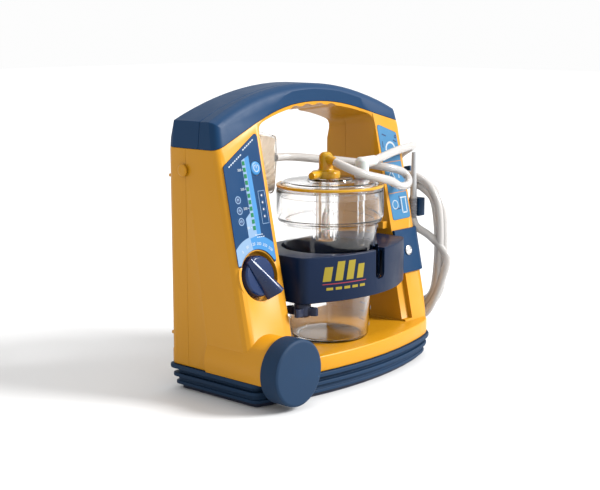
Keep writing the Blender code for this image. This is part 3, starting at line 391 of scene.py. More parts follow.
def connect(tree, item, socket):
    if isinstance(item, Value):
        tree.links.new(item.socket, socket)
    else:
        socket.default_value = item


class Finish:
    """A material whose Principled shader is built from named values."""

    def __init__(self, name, colour, roughness, **constants):
        self.material = bpy.data.materials.new(name)
        self.material.use_nodes = True
        self.tree = self.material.node_tree
        self.shader = self.tree.nodes["Principled BSDF"]
        self.shader.inputs["Base Color"].default_value = (*colour, 1.0)
        self.shader.inputs["Roughness"].default_value = roughness
        for key, value in constants.items():
            self.shader.inputs[key.replace("_", " ")].default_value = value
        self.colour = tuple(colour)
        self.roughness = roughness
        self.place = self.node("ShaderNodeTexCoord").outputs["Object"]

    def node(self, kind, settings=None, **sockets):
        made = self.tree.nodes.new(kind)
        for key, value in (settings or {}).items():
            setattr(made, key, value)
        for key, value in sockets.items():
            connect(self.tree, value, made.inputs[key.replace("_", " ")])
        return made

    def noise(self, scale, detail=3.0, roughness=0.5, stretch=None):
        place = Value(self.tree, self.place)
        if stretch:
            mapping = self.node("ShaderNodeMapping", Vector=place)
            mapping.inputs["Scale"].default_value = stretch
            place = Value(self.tree, mapping.outputs[0])
        made = self.node("ShaderNodeTexNoise", Vector=place, Scale=scale, Detail=detail, Roughness=roughness)
        return Value(self.tree, made.outputs["Fac"])

    def axis(self, name):
        split = self.node("ShaderNodeSeparateXYZ", Vector=Value(self.tree, self.place))
        return Value(self.tree, split.outputs[name])

    def blend_colour(self, mask, first, second):
        made = self.node("ShaderNodeMix", {"data_type": "RGBA"})
        connect(self.tree, mask, made.inputs[0])
        made.inputs[6].default_value = (*first, 1.0)
        made.inputs[7].default_value = (*second, 1.0)
        return Value(self.tree, made.outputs[2])

    def set(self, socket, value):
        connect(self.tree, value, self.shader.inputs[socket])
        return self

    def bump(self, height, distance=0.0003, strength=0.3):
        made = self.node("ShaderNodeBump", Height=height, Strength=strength, Distance=distance)
        return self.set("Normal", Value(self.tree, made.outputs[0]))


def shifted(colour, factor):
    return tuple(min(1.0, c * factor) for c in colour)


def moulded(name, colour, roughness, grain=0.12, scale=1400.0, spread=0.05, coat=0.0, sheen=0.25,
    **constants):
    """Moulded plastic: slow cloudy colour, patches of polish, smudges, and a fine spark-eroded grain."""
    made = Finish(name, colour, roughness, Coat_Weight=coat, Specular_IOR_Level=sheen, **constants)
    cloud = made.noise(14.0, 2.0)
    smudge = made.noise(55.0, 4.0, 0.6)
    made.set("Base Color", made.blend_colour(cloud, shifted(colour, 1 - spread), shifted(colour, 1 + spread)))
    made.set("Roughness", (smudge - 0.5) * 0.22 + cloud * 0.05 + (roughness - 0.02))
    return made.bump(made.noise(scale, 2.0), 0.00006, grain).material


def rubbery(name, colour, roughness=0.62):
    """Rubber: matt, with pale dust in soft patches and a coarse grain."""
    made = Finish(name, colour, roughness, Specular_IOR_Level=0.18)
    dust = ((made.noise(38.0, 5.0, 0.65) - 0.52) * 4.0).clamped()
    made.set("Base Color", made.blend_colour(dust * 0.35, colour, shifted(colour, 1.5)))
    made.set("Roughness", dust * 0.12 + roughness)
    return made.bump(made.noise(900.0, 2.0), 0.0001, 0.25).material


def clear(name, tint, roughness=0.03, ior=1.45, waviness=0.06, **constants):
    """Clear plastic: light passes through, with faint moulding waves and fine dulling."""
    made = Finish(name, tint, roughness, IOR=ior, Transmission_Weight=1.0, **constants)
    made.set("Roughness", made.noise(60.0, 3.0) * 0.03 + roughness)
    return made.bump(made.noise(45.0, 1.0, stretch=(1, 1, 0.4)), 0.0006, waviness).material


def brushed(name, colour, roughness, stretch=(1, 1, 14)):
    made = Finish(name, colour, roughness, Metallic=1.0)
    grain = made.noise(500.0, 3.0, stretch=stretch)
    made.set("Roughness", grain * 0.16 + roughness)
    return made.bump(grain, 0.00005, 0.2).material


MATERIALS = {}


def make_materials():
    c = colours()
    m = MATERIALS
    m["yellow"] = moulded("yellow_housing_finish", tuple(c.yellow), 0.36, grain=0.10, spread=0.025)
    m["blue"] = moulded("blue_cover_finish", tuple(c.blue), 0.46, grain=0.22, scale=1100, sheen=0.15)
    m["rubber"] = rubbery("blue_rubber_finish", tuple(c.rubber))
    m["navy"] = moulded("navy_holder_finish", tuple(c.navy), 0.36, grain=0.08, sheen=0.14)
    m["knob"] = moulded("knob_finish", tuple(c.knob), 0.26, grain=0.05, coat=0.3)
    m["panel"] = moulded("panel_film", tuple(c.panel), 0.34, grain=0.10, scale=2200, spread=0.04, sheen=0.12)
    m["sky"] = moulded("sky_print", tuple(c.sky), 0.34, grain=0.08, scale=2200, spread=0.04)
    m["pale"] = moulded("pale_print", tuple(c.pale), 0.34, grain=0.08, scale=2200, spread=0.03)
    m["guide"] = moulded("guide_film", tuple(c.guide), 0.34, grain=0.10, scale=2200, spread=0.05)
    m["white_ink"] = moulded("white_ink", (0.33, 0.37, 0.41), 0.4, spread=0.02)
    m["orange_ink"] = moulded("orange_ink", (0.36, 0.15, 0.03), 0.4, spread=0.03)
    m["gold_ink"] = moulded("gold_ink", (0.22, 0.17, 0.012), 0.42, spread=0.05)
    m["red_ink"] = moulded("red_ink", (0.20, 0.02, 0.035), 0.42, spread=0.05)
    m["dark_ink"] = moulded("dark_ink", (0.008, 0.03, 0.09), 0.4, spread=0.03)
    m["green_lamp"] = moulded("green_lamp", (0.004, 0.12, 0.045), 0.2, grain=0.03, coat=0.5)
    m["yellow_fitting"] = moulded("yellow_fitting_finish", tuple(c.fitting), 0.3, coat=0.2,
        Subsurface_Weight=0.15)
    m["white"] = moulded("white_plastic_finish", (0.52, 0.52, 0.51), 0.3, spread=0.015, Subsurface_Weight=0.2)
    m["float"] = moulded("float_finish", (0.62, 0.54, 0.46), 0.4, spread=0.04, Subsurface_Weight=0.3)
    m["grey"] = rubbery("grey_sleeve_finish", (0.20, 0.21, 0.235), 0.5)
    m["black"] = moulded("black_knob_finish", (0.012, 0.016, 0.035), 0.3, grain=0.08)
    m["jar"] = clear("canister_clear", (0.965, 0.96, 0.955), 0.035)
    m["lid"] = clear("lid_clear", (0.97, 0.975, 0.98), 0.03)
    m["case_clear"] = clear("filter_case_clear", (0.98, 0.975, 0.965), 0.06)
    m["steel"] = brushed("steel_finish", (0.62, 0.62, 0.62), 0.24)
    m["brass"] = brushed("brass_finish", (0.72, 0.52, 0.22), 0.28)
    m["circuit"] = moulded("circuit_finish", (0.02, 0.16, 0.06), 0.4)
    m["wrap"] = moulded("battery_wrap_finish", (0.05, 0.07, 0.10), 0.45)
    m["paper"] = paper_material(tuple(c.paper))
    m["tube"] = milky("clear_tube_finish", (0.56, 0.54, 0.52), 0.42, 0.16)
    m["milky"] = milky("connector_finish", (0.50, 0.51, 0.52), 0.35, 0.24)


def paper_material(colour):
    """Filter paper: a fibrous bump and slightly darker stains."""
    made = Finish("filter_paper_finish", colour, 0.9)
    stain = made.noise(60.0, 4.0, 0.6)
    made.set("Base Color", made.blend_colour(stain, shifted(colour, 0.85), shifted(colour, 1.18)))
    made.set("Roughness", stain * 0.08 + 0.86)
    return made.bump(made.noise(900.0, 4.0), 0.0002, 0.4).material


def milky(name, colour, clearness, roughness):
    """Soft see-through plastic: part milk and part clear, with a polished outside and a faint inner haze."""
    made = Finish(name, colour, roughness, IOR=1.38, Transmission_Weight=clearness, Coat_Weight=0.5,
        Coat_Roughness=0.08)
    haze = made.noise(70.0, 3.0)
    made.set("Base Color", made.blend_colour(haze, shifted(colour, 0.95), shifted(colour, 1.05)))
    made.set("Roughness", haze * 0.12 + (roughness - 0.04))
    return made.bump(made.noise(120.0, 2.0), 0.0003, 0.08).material


# ------------------------------------------------------ shapes on the sloping face

def on_face(x, z, out):
    """Points on the sloping face at height z, raised by out along its outward normal."""
    x, z, out = np.broadcast_arrays(np.asarray(x, float), np.asarray(z, float), np.asarray(out, float))
    y = FACE_FOOT_Y + FACE_SLOPE * z - out * math.cos(FACE_TILT)
    return np.stack([x, y, z + out * math.sin(FACE_TILT)], axis=-1)


def face_matrix(x, z):
    c, s = math.cos(FACE_TILT), math.sin(FACE_TILT)
    turn = Matrix(((1, 0, 0, 0), (0, s, -c, 0), (0, c, s, 0), (0, 0, 0, 1)))
    return Matrix.Translation((x, FACE_FOOT_Y + FACE_SLOPE * z, z)) @ turn


def plate(name, outline, low, high):
    """A thin plate on the face: an (x, z) outline raised between two heights."""
    outline = np.asarray(outline, float)
    count = len(outline)
    points = np.vstack([on_face(outline[:, 0], outline[:, 1], low),
        on_face(outline[:, 0], outline[:, 1], high)])
    around = np.arange(count)
    ahead = (around + 1) % count
    faces = np.stack([around, ahead, ahead + count, around + count], axis=1).tolist()
    faces += [around[::-1].tolist(), (around + count).tolist()]
    return make_object(name, points, faces)


def ring_sector(name, centre, inner, outer, start, end, low, high, count=48):
    """A flat band on the face, between two radii and two angles from the x axis."""
    a = np.linspace(start, end, count)
    rim = [(inner, low), (outer, low), (outer, high), (inner, high)]
    z_scale = math.cos(FACE_TILT)
    points = np.stack([on_face(centre[0] + r * np.cos(a), centre[1] + r * np.sin(a) * z_scale, h) for r,
        h in rim], axis=1)
    whole = abs(abs(end - start) - 2 * np.pi) < 1e-6
    if whole:
        points = points[:-1]
    return surface(name, points, round_rows=whole, round_columns=True, caps=not whole)


def bar(name, start, end, width, low=0.32, high=0.42):
    """A straight printed stroke on the face."""
    a, b = np.array(start, float), np.array(end, float)
    along = (b - a) / np.linalg.norm(b - a)
    side = np.array([-along[1], along[0]]) * width / 2
    return plate(name, [a + side, b + side, b - side, a - side][::-1], low, high)


def lettering(name, text, place, size, depth=0.12, align="CENTER"):
    """Plain figures as a mesh, set in place by a matrix in millimetres."""
    data = bpy.data.curves.new(name, "FONT")
    data.body = text
    data.size = size
    data.align_x = align
    data.align_y = "CENTER"
    data.extrude = depth / 2
    guide = bpy.data.objects.new(name + "_guide", data)
    bpy.context.scene.collection.objects.link(guide)
    bpy.context.view_layer.update()
    mesh = bpy.data.meshes.new_from_object(guide.evaluated_get(bpy.context.evaluated_depsgraph_get()))
    bpy.data.objects.remove(guide)
    mesh.transform(place)
    mesh.transform(Matrix.Scale(MM, 4))
    obj = bpy.data.objects.new(name, mesh)
    bpy.context.scene.collection.objects.link(obj)
    return obj


def face_text(name, text, x, z, size, turn=0.0, out=0.4):
    place = face_matrix(x, z) @ Matrix.Translation((0, 0, out)) @ Matrix.Rotation(turn, 4, "Z")
    return lettering(name, text, place, size)


# ----------------------------------------------------------------- operators

class PumpOperator(bpy.types.Operator):
    """Shared settings of the operators."""

    bl_idname = "pump.base"
    bl_label = "Base"
    bl_options = {"REGISTER", "UNDO"}


class PUMP_OT_tubes(PumpOperator):
    """The vacuum tube, and the patient tube with its coil on the side of the case"""

    bl_idname = "pump.tubes"
    bl_label = "Tubes"

    def tube(self, name, route, spacing=3.0):
        path, length = smooth_route(route, spacing)
        obj = sweep(name, path, TUBE_DIAMETER / 2, sides=sizes().tube_sides)
        obj.data.materials.append(MATERIALS["tube"])
        return obj, path * MM, length * MM

    def coil(self):
        """Upright oval turns in two layers. Each turn changes its half width and steps across."""
        turn = np.linspace(0, COIL_TURNS, 130)
        angle = COIL_START + turn * 2 * np.pi
        half = np.interp(turn, range(5), COIL_HALF_WIDTHS)
        x = np.interp(turn, range(5), COIL_SIDES)
        straight = (COIL_TOP - COIL_FOOT) / 2 - COIL_HALF_WIDTH
        rise = np.cos(angle)
        sag = 0.25 * (COIL_HALF_WIDTHS[0] - half) * np.clip(rise, 0, 1)
        z = (COIL_TOP + COIL_FOOT) / 2 + half * rise + straight * np.tanh(3.2 * rise) - sag
        return np.stack([x, COIL_Y + half * np.sin(angle), z], axis=1)

    def execute(self, context):
        vacuum, path, length = self.tube("vacuum_tube_line", VACUUM_ROUTE)
        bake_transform(vacuum)
        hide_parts("vacuum_tube")

        route = [*PATIENT_ROUTE, *COIL_LEAD, *self.coil()[4::3].tolist(), *CONNECTOR_LEAD]
        patient, path, length = self.tube("patient_tube_line", route)
        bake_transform(patient)
        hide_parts("patient_tube", "patient_tube_coil", "patient_tube_end")
        self.connector()
        return {"FINISHED"}

    def connector(self):
        place = upright("patient_connector")
        tip, foot = top_of("patient_connector")[2], foot_of("patient_connector")[2]
        shape = lathe("connector_tip", [(1.7, foot), (1.7, tip), (2.7, tip), (3.3, 205), (4.0, 180),
            (4.4, 179), (4.4, 177),
                                        (3.0, 176.5), (2.9, foot)], place, closed=True, rounding=0.4)
        keep(shape, MATERIALS["milky"], "case", "patient_connector")
        low, high = foot_of("connector_sleeve")[2], top_of("connector_sleeve")[2]
        z = np.linspace(low, high, 90)
        ribs = 4.25 + 0.3 * np.cos((z - low) / (high - low) * 2 * np.pi * 7)
        profile = [(3.2, low), *zip(ribs, z), (3.2, high)]
        sleeve = lathe("ribbed_sleeve", profile, upright("connector_sleeve"), closed=True, rounding=0.05)
        keep(sleeve, MATERIALS["grey"], "case", "connector_sleeve")
        return shape, sleeve


class PUMP_OT_case(PumpOperator):
    """The housings, the handle covers, the bumper, the holder and the other moulded parts"""

    bl_idname = "pump.case"
    bl_label = "Case"

    moulded = {
        "front_housing": ("yellow", 0.0006), "rear_housing": ("yellow", 0.0006),
        "handle_cover_front": ("blue", 0.0006),
        "handle_cover_rear": ("blue", 0.0010), "base_bumper": ("rubber", 0.0006),
        "canister_holder": ("navy", 0.0014),
        "holder_bracket": ("blue", 0.0008), "tube_holder": ("blue", 0.0008), "tube_clip": ("blue", 0.0006),
        "battery_door": ("yellow", 0.0004), "power_inlet": ("black", 0.0006),
        "vacuum_port": ("white", 0.0006),
        "bracket_screw": ("steel", 0.0003),
    }
    plain = {
        "base_plate": "black", "regulator_valve": "brass", "pump_motor": "steel", "pump_head": "black",
        "pump_rotor": "steel", "battery_pack": "wrap", "circuit_board": "circuit", "vacuum_hose": "grey",
        **{f"housing_screw_{i}": "steel" for i in range(1, 7)},
    }

    def execute(self, context):
        bodies = {node: body for body,
            nodes in frame["record"]["behaviour"]["bodies"].items() for node in nodes}
        for node, (finish, width) in self.moulded.items():
            keep(rounded_copy(node, width), MATERIALS[finish], bodies[node], node)
        for node, finish in self.plain.items():
            for slot in NODES[node].material_slots:
                slot.material = MATERIALS[finish]
        self.nose_cap()
        self.studs()
        return {"FINISHED"}

    def nose_cap(self):
        x, _, z = centre_of("pump_nose_cap")
        front, back = -foot_of("pump_nose_cap")[1], -top_of("pump_nose_cap")[1]
        radius = top_of("pump_nose_cap")[0] - x
        profile = [(0, front), (radius - 2.5, front), (radius, front - 1.6), (radius, back), (32.4, back),
            (32.4, 70.4),
                   (0, 70.4)]
        place = Matrix.Translation((x, 0, z)) @ Matrix.Rotation(math.radians(90), 4, "X")
        keep(lathe("nose_cap", profile, place, rounding=0.9), MATERIALS["rubber"], "case", "pump_nose_cap")

    def studs(self):
        for node, side in (("strap_stud_left", -1), ("strap_stud_right", 1)):
            _, y, z = centre_of(node)
            place = Matrix.Translation((150 * side, y, z)) @ Matrix.Rotation(math.radians(90 * side), 4, "Y")
            profile = [(0, 3.9), (4.6, 4.1), (6.3, 3.4), (6.3, 1.6), (4.0, 1.3), (4.0, 0.3), (0, 0.3)]
            keep(lathe(node + "_button", profile, place, rounding=0.7), MATERIALS["yellow"], "case", node)


class PUMP_OT_controls(PumpOperator):
    """The printed control panel with its lamps, the dial, the test button and the knob"""

    bl_idname = "pump.controls"
    bl_label = "Controls"

    def execute(self, context):
        panel = rounded_copy("control_panel", 0.00015)
        keep(panel, MATERIALS["panel"], "case", "control_panel")
        self.prints(panel)
        self.lamps()
        self.knob()
        self.button()
        return {"FINISHED"}

    def prints(self, panel):
        split = math.radians(98)
        sky = self.dial_band("dial_band_right", math.radians(19), math.radians(30), split, split)
        stem = plate("bar_right", [(-115.6, 168), (-107.6, 168), (-107.2, 190), (-108.3, 247),
            (-118.6, 243)], 0.3, 0.38)
        keep(joined("dial_sky", sky, stem), MATERIALS["sky"], "case")
        pale = self.dial_band("dial_band_left", split, split, math.radians(161), math.radians(150))
        flare = plate("bar_left", [(-125.6, 166), (-113.4, 168), (-113.6, 190), (-114.5, 244.8),
            (-119.6, 242.6),
                                   (-118.6, 191), (-125.6, 186)], 0.3, 0.40)
        keep(joined("dial_pale", pale, flare), MATERIALS["pale"], "case")

        marks = []
        for i, figure in enumerate(("0", "80", "120", "200", "350", "500")):
            angle = math.radians(125 - i * 15)
            x, z = KNOB[0] + 32.5 * math.cos(angle), KNOB[1] + 32.5 * math.sin(angle) * math.cos(FACE_TILT)
            marks.append(face_text(f"dial_{figure}", figure, x, z, 4.2, angle - math.pi / 2))
        for figure, z in (("500", 233.6), ("350", 214.7), ("200", 195.7), ("80", 176.6)):
            marks.append(face_text(f"bar_{figure}", figure, -124.0, z, 3.6))
            marks.append(bar(f"tick_{figure}", (-120.2, z), (-119.0, z), 0.7))
        for x, z, count in ((-138.3, 237.5, 7), (-115.2, 252.7, 6)):
            for i in range(count):
                start = (x + 3.0 * i, z + 1.68 * i)
                marks.append(bar("rule", start, (start[0] + 2.0, start[1] + 1.12), 1.3))
        for i in range(4):
            marks.append(bar("unit", (-116 + 2.9 * i, 168.6), (-114.2 + 2.9 * i, 168.6), 0.9, 0.38, 0.46))
            marks.append(bar("unit", (-114 + 2.9 * i, 166.2), (-112.2 + 2.9 * i, 166.2), 0.9, 0.38, 0.46))
        keep(joined("panel_figures", *marks), MATERIALS["white_ink"], "case")

        outline = [(-102.6, 211), (-93.4, 211), (-93.4, 178.5), (-102.6, 178.5)]
        box = [bar(f"battery_{i}", a, b, 0.5) for i,
            (a, b) in enumerate(zip(outline, outline[1:] + outline[:1]))]
        keep(joined("battery_frame", *box), MATERIALS["pale"], "case")

    def dial_band(self, name, outer_from, inner_from, outer_to, inner_to):
        """The part of a ring round the knob that lies on the panel, held between the panel's sides."""
        outer, inner = np.linspace(outer_from, outer_to, 40), np.linspace(inner_to, inner_from, 40)
        angle = np.concatenate([outer, inner])
        radius = np.concatenate([outer * 0 + DIAL_OUTER, inner * 0 + DIAL_INNER])
        x = np.clip(KNOB[0] + radius * np.cos(angle), PANEL_SIDES[0], PANEL_SIDES[1])
        z = KNOB[1] + radius * np.sin(angle) * math.cos(FACE_TILT)
        return plate(name, np.stack([x, z], axis=1), 0.3, 0.36)

    def lamps(self):
        green = [plate(f"lamp_{i}", [(-119.0 + 0.14 * i, 237.9 - 6.42 * i),
            (-115.4 + 0.14 * i, 237.9 - 6.42 * i),
                                     (-115.4 + 0.14 * i, 242.0 - 6.42 * i),
                                     (-119.0 + 0.14 * i, 242.0 - 6.42 * i)], 0.3, 0.7)
                 for i in range(11)]
        keep(joined("green_lamps", *green), MATERIALS["green_lamp"], "case")
        small, rings, wells = [], [], []
        for z in (206.5, 199.5, 192.6, 185.6):
            small.append(ring_sector("battery_lamp", (-98.6, z), 0.02, 1.0, 0, 2 * np.pi, 0.3, 0.7, 17))
            wells.append(ring_sector("battery_well", (-98.0, z), 0.02, 2.3, 0, 2 * np.pi, 0.3, 0.5, 21))
        for z in (205.0, 194.4, 183.7):
            rings.append(ring_sector("status_ring", (-132.6, z), 3.1, 3.9, 0, 2 * np.pi, 0.3, 0.6, 33))
            rings.append(ring_sector("status_mark", (-132.6, z), 0.7, 1.5, math.radians(-50),
                math.radians(230), 0.3, 0.55, 21))
            wells.append(ring_sector("status_well", (-132.6, z), 0.02, 3.1, 0, 2 * np.pi, 0.3, 0.45, 33))
        keep(joined("battery_lamps", *small), MATERIALS["white_ink"], "case")
        keep(joined("status_rings", *rings), MATERIALS["pale"], "case")
        keep(joined("lamp_wells", *wells), MATERIALS["dark_ink"], "case")

    def knob(self):
        frame_of_knob = face_matrix(*KNOB)
        disc = lathe("knob_disc", [(0, 1.6), (18.4, 1.9), (20.4, 0.3), (21.6, -9.4), (5.0, -9.4),
            (3.4, -9.8), (3.4, -26),
                                   (0, -26)], frame_of_knob, rounding=0.8)
        grip = self.grip(frame_of_knob)
        keep(joined("knob_finished", disc, grip), MATERIALS["knob"], "regulator", "regulator_knob")
        line = self.pointer(frame_of_knob)
        keep(line, MATERIALS["white_ink"], "regulator")

    def grip(self, place):
        """A faceted wedge along the pointer: its foot, narrow ridge and height taper from heel to tip."""
        v = np.linspace(0, 1, 30)[:, None]
        along = GRIP_HEEL + v * GRIP_LENGTH
        foot = 11.4 - 7.2 * v
        ridge = 3.0 - 1.6 * v
        crest = self.crest(v)
        corners = [(-foot, 0 * v + 0.8), (-foot, 0 * v + 3.0), (-ridge, crest - 0.5), (-ridge + 0.7, crest),
                   (ridge - 0.7, crest), (ridge, crest - 0.5), (foot, 0 * v + 3.0), (foot, 0 * v + 0.8)]
        points = np.stack([np.hstack([x, along, z]) for x, z in corners], axis=1)
        wedge = placed(points, place @ Matrix.Rotation(KNOB_POINTER, 4, "Z"))
        return surface("knob_grip_shape", wedge, round_columns=True, caps=True, smooth_angle=25)

    def crest(self, v):
        return 15.0 - 9.5 * v**1.15

    def pointer(self, place):
        y = np.linspace(9, 20, 12)[:, None]
        crest = self.crest((y - GRIP_HEEL) / GRIP_LENGTH) + 0.12
        section = np.array([[-0.75, -0.6], [0.75, -0.6], [0.75, 0.0], [-0.75, 0.0]])
        points = np.stack([section[:, 0] + 0 * y, y + 0 * section[:, 0], crest + section[:, 1]], axis=-1)
        turn = place @ Matrix.Rotation(KNOB_POINTER, 4, "Z")
        return surface("knob_pointer_line", placed(points, turn), round_columns=True, caps=True)

    def button(self):
        place = face_matrix(*BUTTON)
        cap = lathe("button_cap", [(0, 1.0), (4.8, 1.2), (6.4, 0.9), (7.2, 0.1), (7.2, -1.6), (0, -1.6)],
            place, rounding=0.6)
        keep(cap, MATERIALS["sky"], "test_button_body", "test_button")
        ring = ring_sector("button_ring", BUTTON, 3.2, 4.0, math.radians(-240), math.radians(60), 1.0,
            1.3, 33)
        stroke = bar("button_stroke", (BUTTON[0], BUTTON[1]), (BUTTON[0], BUTTON[1] + 3.6), 0.8, 1.0, 1.3)
        keep(joined("button_mark", ring, stroke), MATERIALS["white_ink"], "test_button_body")


class PUMP_OT_guide(PumpOperator):
    """The instruction panel on the right column, with plain pictures in place of its drawings"""

    bl_idname = "pump.guide"
    bl_label = "Instruction panel"

    def execute(self, context):
        keep(rounded_copy("instruction_panel", 0.00015), MATERIALS["guide"], "case", "instruction_panel")
        lines = [bar("divide_a", (107.6, 222), (140.0, 222.3), 0.8),
            bar("divide_b", (108.6, 187), (141.0, 187.6), 0.8)]
        keep(joined("guide_dividers", *lines), MATERIALS["orange_ink"], "case")
        white = [
            ring_sector("guide_arch", (124, 236), 7.0, 9.2, math.radians(-10), math.radians(190), 0.3, 0.42),
            bar("guide_base", (113, 233), (136, 233), 1.6), bar("guide_leg", (131.5, 203), (131.5, 216), 1.3),
            bar("guide_jar_a", (129, 164), (129, 180), 1.4), bar("guide_jar_b", (137, 164), (137, 180), 1.4),
            bar("guide_jar_c", (129, 164), (137, 164), 1.4), bar("guide_top", (127, 181), (139, 181), 1.4),
            ring_sector("guide_loop", (117, 174), 4.4, 5.4, 0, 2 * np.pi, 0.3, 0.42, 33),
            bar("guide_tick", (112, 205), (119, 212), 1.2), bar("guide_tick_b", (119, 212), (124, 203), 1.2),
        ]
        keep(joined("guide_pictures", *white), MATERIALS["white_ink"], "case")
        dark = [
            bar("guide_rule_a", (112, 254), (119, 251.5), 1.4),
            bar("guide_rule_b", (131, 246), (136.5, 243.6), 1.4),
            bar("guide_rule_c", (111, 246), (111, 239), 1.2),
            bar("guide_hand_a", (114, 195), (123, 195), 1.3),
            bar("guide_hand_b", (123, 195), (123, 200), 1.3),
            bar("guide_pipe_a", (117, 169), (126, 169), 1.3),
            bar("guide_pipe_b", (126, 169), (126, 183.5), 1.2),
            bar("guide_rule_d", (133, 211), (138, 211), 1.3),
            ring_sector("guide_dot", (136, 252.6 - 3), 1.0, 2.2, 0, 2 * np.pi, 0.3, 0.42, 21),
        ]
        keep(joined("guide_marks", *dark), MATERIALS["dark_ink"], "case")
        return {"FINISHED"}


class PUMP_OT_canister(PumpOperator):
    """The clear canister with its scale, the lid, the ring, the float in its cage, and the elbows"""

    bl_idname = "pump.canister"
    bl_label = "Canister"

    def execute(self, context):
        self.jar()
        self.lid()
        self.scale()
        self.float()
        self.elbows()
        return {"FINISHED"}

    def jar(self):
        low, high = foot_of("canister"), top_of("canister")
        foot, rim = low[2], high[2]
        collar = (high[0] - low[0]) / 2
        outside = [(0, foot + 1.2), (33, foot + 1.2), (35, foot), (39.8, foot), (42.2, foot + 3),
            (51.3, 168), (56.0, 171.4),
                   (collar, 176), (collar, rim)]
        inside = [(collar - 2.0, rim), (collar - 2.2, 175), (49.2, 170), (40.2, foot + 3.4),
            (37, foot + 2.6), (0, foot + 2.6)]
        keep(lathe("canister_shell", outside + inside, upright("canister"), rounding=1.0),
            MATERIALS["jar"], "canister_unit",
             "canister")

    def lid(self):
        rim = (top_of("canister")[0] - foot_of("canister")[0]) / 2
        profile = [(5.0, 216), (23.6, 216), (25, 213), (rim - 8, 213), (rim - 5, 211), (rim - 5, 206.7),
            (rim - 0.5, 206.7),
                   (rim - 0.5, 204.4), (rim - 2.6, 204.4), (rim - 2.6, 197), (rim - 4.8, 197),
                   (rim - 5.8, 205),
                   (rim - 9, 210.5), (23.2, 210.5), (22, 213.6), (5.0, 213.6)]
        place = upright("canister")
        disc = lathe("lid_disc", profile, place, closed=True, rounding=0.6)
        x, y, _ = centre_of("patient_elbow")
        port_x, port_y = foot_of("patient_elbow")[0] + 8.4, top_of("patient_elbow")[1] - 8.4
        z = np.linspace(209.5, 140, 24)
        path = np.stack([port_x + 0 * z, port_y + 0 * z, z], axis=1)
        pipe = sweep("lid_pipe", path, np.linspace(4.2, 3.8, 24))
        keep(joined("lid_clear_part", disc, pipe), MATERIALS["lid"], "canister_unit", "canister_lid")
        ring = lathe("lid_ring_finished",
            [(rim, 209.8), (rim, 207.0), (rim - 4.7, 207.0), (rim - 4.7, 209.8)], place,
                     closed=True, rounding=0.9)
        keep(ring, MATERIALS["yellow_fitting"], "canister_unit", "lid_ring")

    def scale(self):
        """Raised graduations on the jar's right side, and a column of figures beside them."""
        x0, y0, _ = centre_of("canister")
        heights = np.arange(56, 166, 9.0)
        pieces = []
        for i, z in enumerate(heights):
            radius = jar_radius(z) + 0.15
            wide = 13 if i % 2 == 0 else 8
            angle = math.radians(-22) + np.linspace(-0.5, 0.5, 9) * wide / radius
            rim = [(0.0, -0.5), (0.35, -0.5), (0.35, 0.5), (0.0, 0.5)]
            points = np.stack([np.stack([x0 + (radius + r) * np.cos(angle), y0 + (radius + r) * np.sin(angle),
                                         z + h + 0 * angle], axis=-1) for r, h in rim], axis=1)
            pieces.append(surface(f"mark_{i}", points, round_columns=True, caps=True))
        keep(joined("canister_scale", *pieces), MATERIALS["dark_ink"], "canister_unit")
        figures = []
        for i, z in enumerate(heights[::2]):
            radius = jar_radius(z) + 0.3
            angle = math.radians(-48)
            place = (Matrix.Translation((x0, y0, z)) @ Matrix.Rotation(angle + math.pi / 2, 4, "Z")
                     @ Matrix.Translation((0, -radius, 0)) @ Matrix.Rotation(math.pi / 2, 4, "X"))
            figures.append(lettering(f"volume_{i}", str(100 + 200 * i), place, 5.0, 0.3))
        keep(joined("canister_figures", *figures), MATERIALS["white_ink"], "canister_unit")

    def float(self):
        place = upright("float_cage")
        top = top_of("float_cage")[2]
        cage = lathe("cage_cup", [(11.6, top), (11.6, 152.6), (0, 152.6), (0, 150), (13.2, 150),
            (13.8, 151), (13.8, top)],
                     place, rounding=0.5)
        ribs = []
        x, y, _ = centre_of("float_cage")
        for k in range(8):
            a = k * math.pi / 4
            z = np.linspace(151, top - 1, 4)
            path = np.stack([x + 13.6 * math.cos(a) + 0 * z, y + 13.6 * math.sin(a) + 0 * z, z], axis=1)
            ribs.append(sweep(f"cage_rib_{k}", path, 0.9, 10))
        keep(joined("cage_clear", cage, *ribs), MATERIALS["jar"], "canister_unit", "float_cage")
        ball = lathe("float_shape", [(0, 178), (3, 178), (4, 174), (9, 171), (9.6, 164), (9, 158),
            (6, 153.2), (0, 153)],
                     upright("float_ball"), rounding=1.4)
        keep(ball, MATERIALS["float"], "float", "float_ball")

    def elbows(self):
        x, y, _ = centre_of("float_cage")
        hub = lathe("hub", [(0, 244.4), (4.4, 243.6), (7.2, 240.6), (7.6, 236), (7.6, 226), (9, 224.6),
            (15, 223.6),
                            (15.6, 221), (15, 216.4), (4.6, 216.4), (4.6, 213.9), (0, 213.9)],
                    Matrix.Translation((x, y, 0)), rounding=1.4)
        stub = sweep("hub_stub", [(x, y, 221.2), (x - 20, y - 3.4, 221.2), (x - 26, y - 4.5, 221.2),
            (x - 29, y - 5, 221.2)],
                     [4.4, 4.4, 4.4, 3.6], 24)
        end = np.array(VACUUM_ROUTE[0])
        start = np.array([x, y, 237.2])
        t = np.linspace(0, 1, 9)[:, None]
        spout = sweep("hub_spout", start + (end - start) * t,
            np.array([6.4, 6.2, 5.9, 5.6, 5.3, 5.0, 4.8, 4.6, 4.4]), 28)
        keep(joined("yellow_elbow", hub, stub, spout), MATERIALS["yellow_fitting"], "canister_unit",
            "vacuum_elbow")

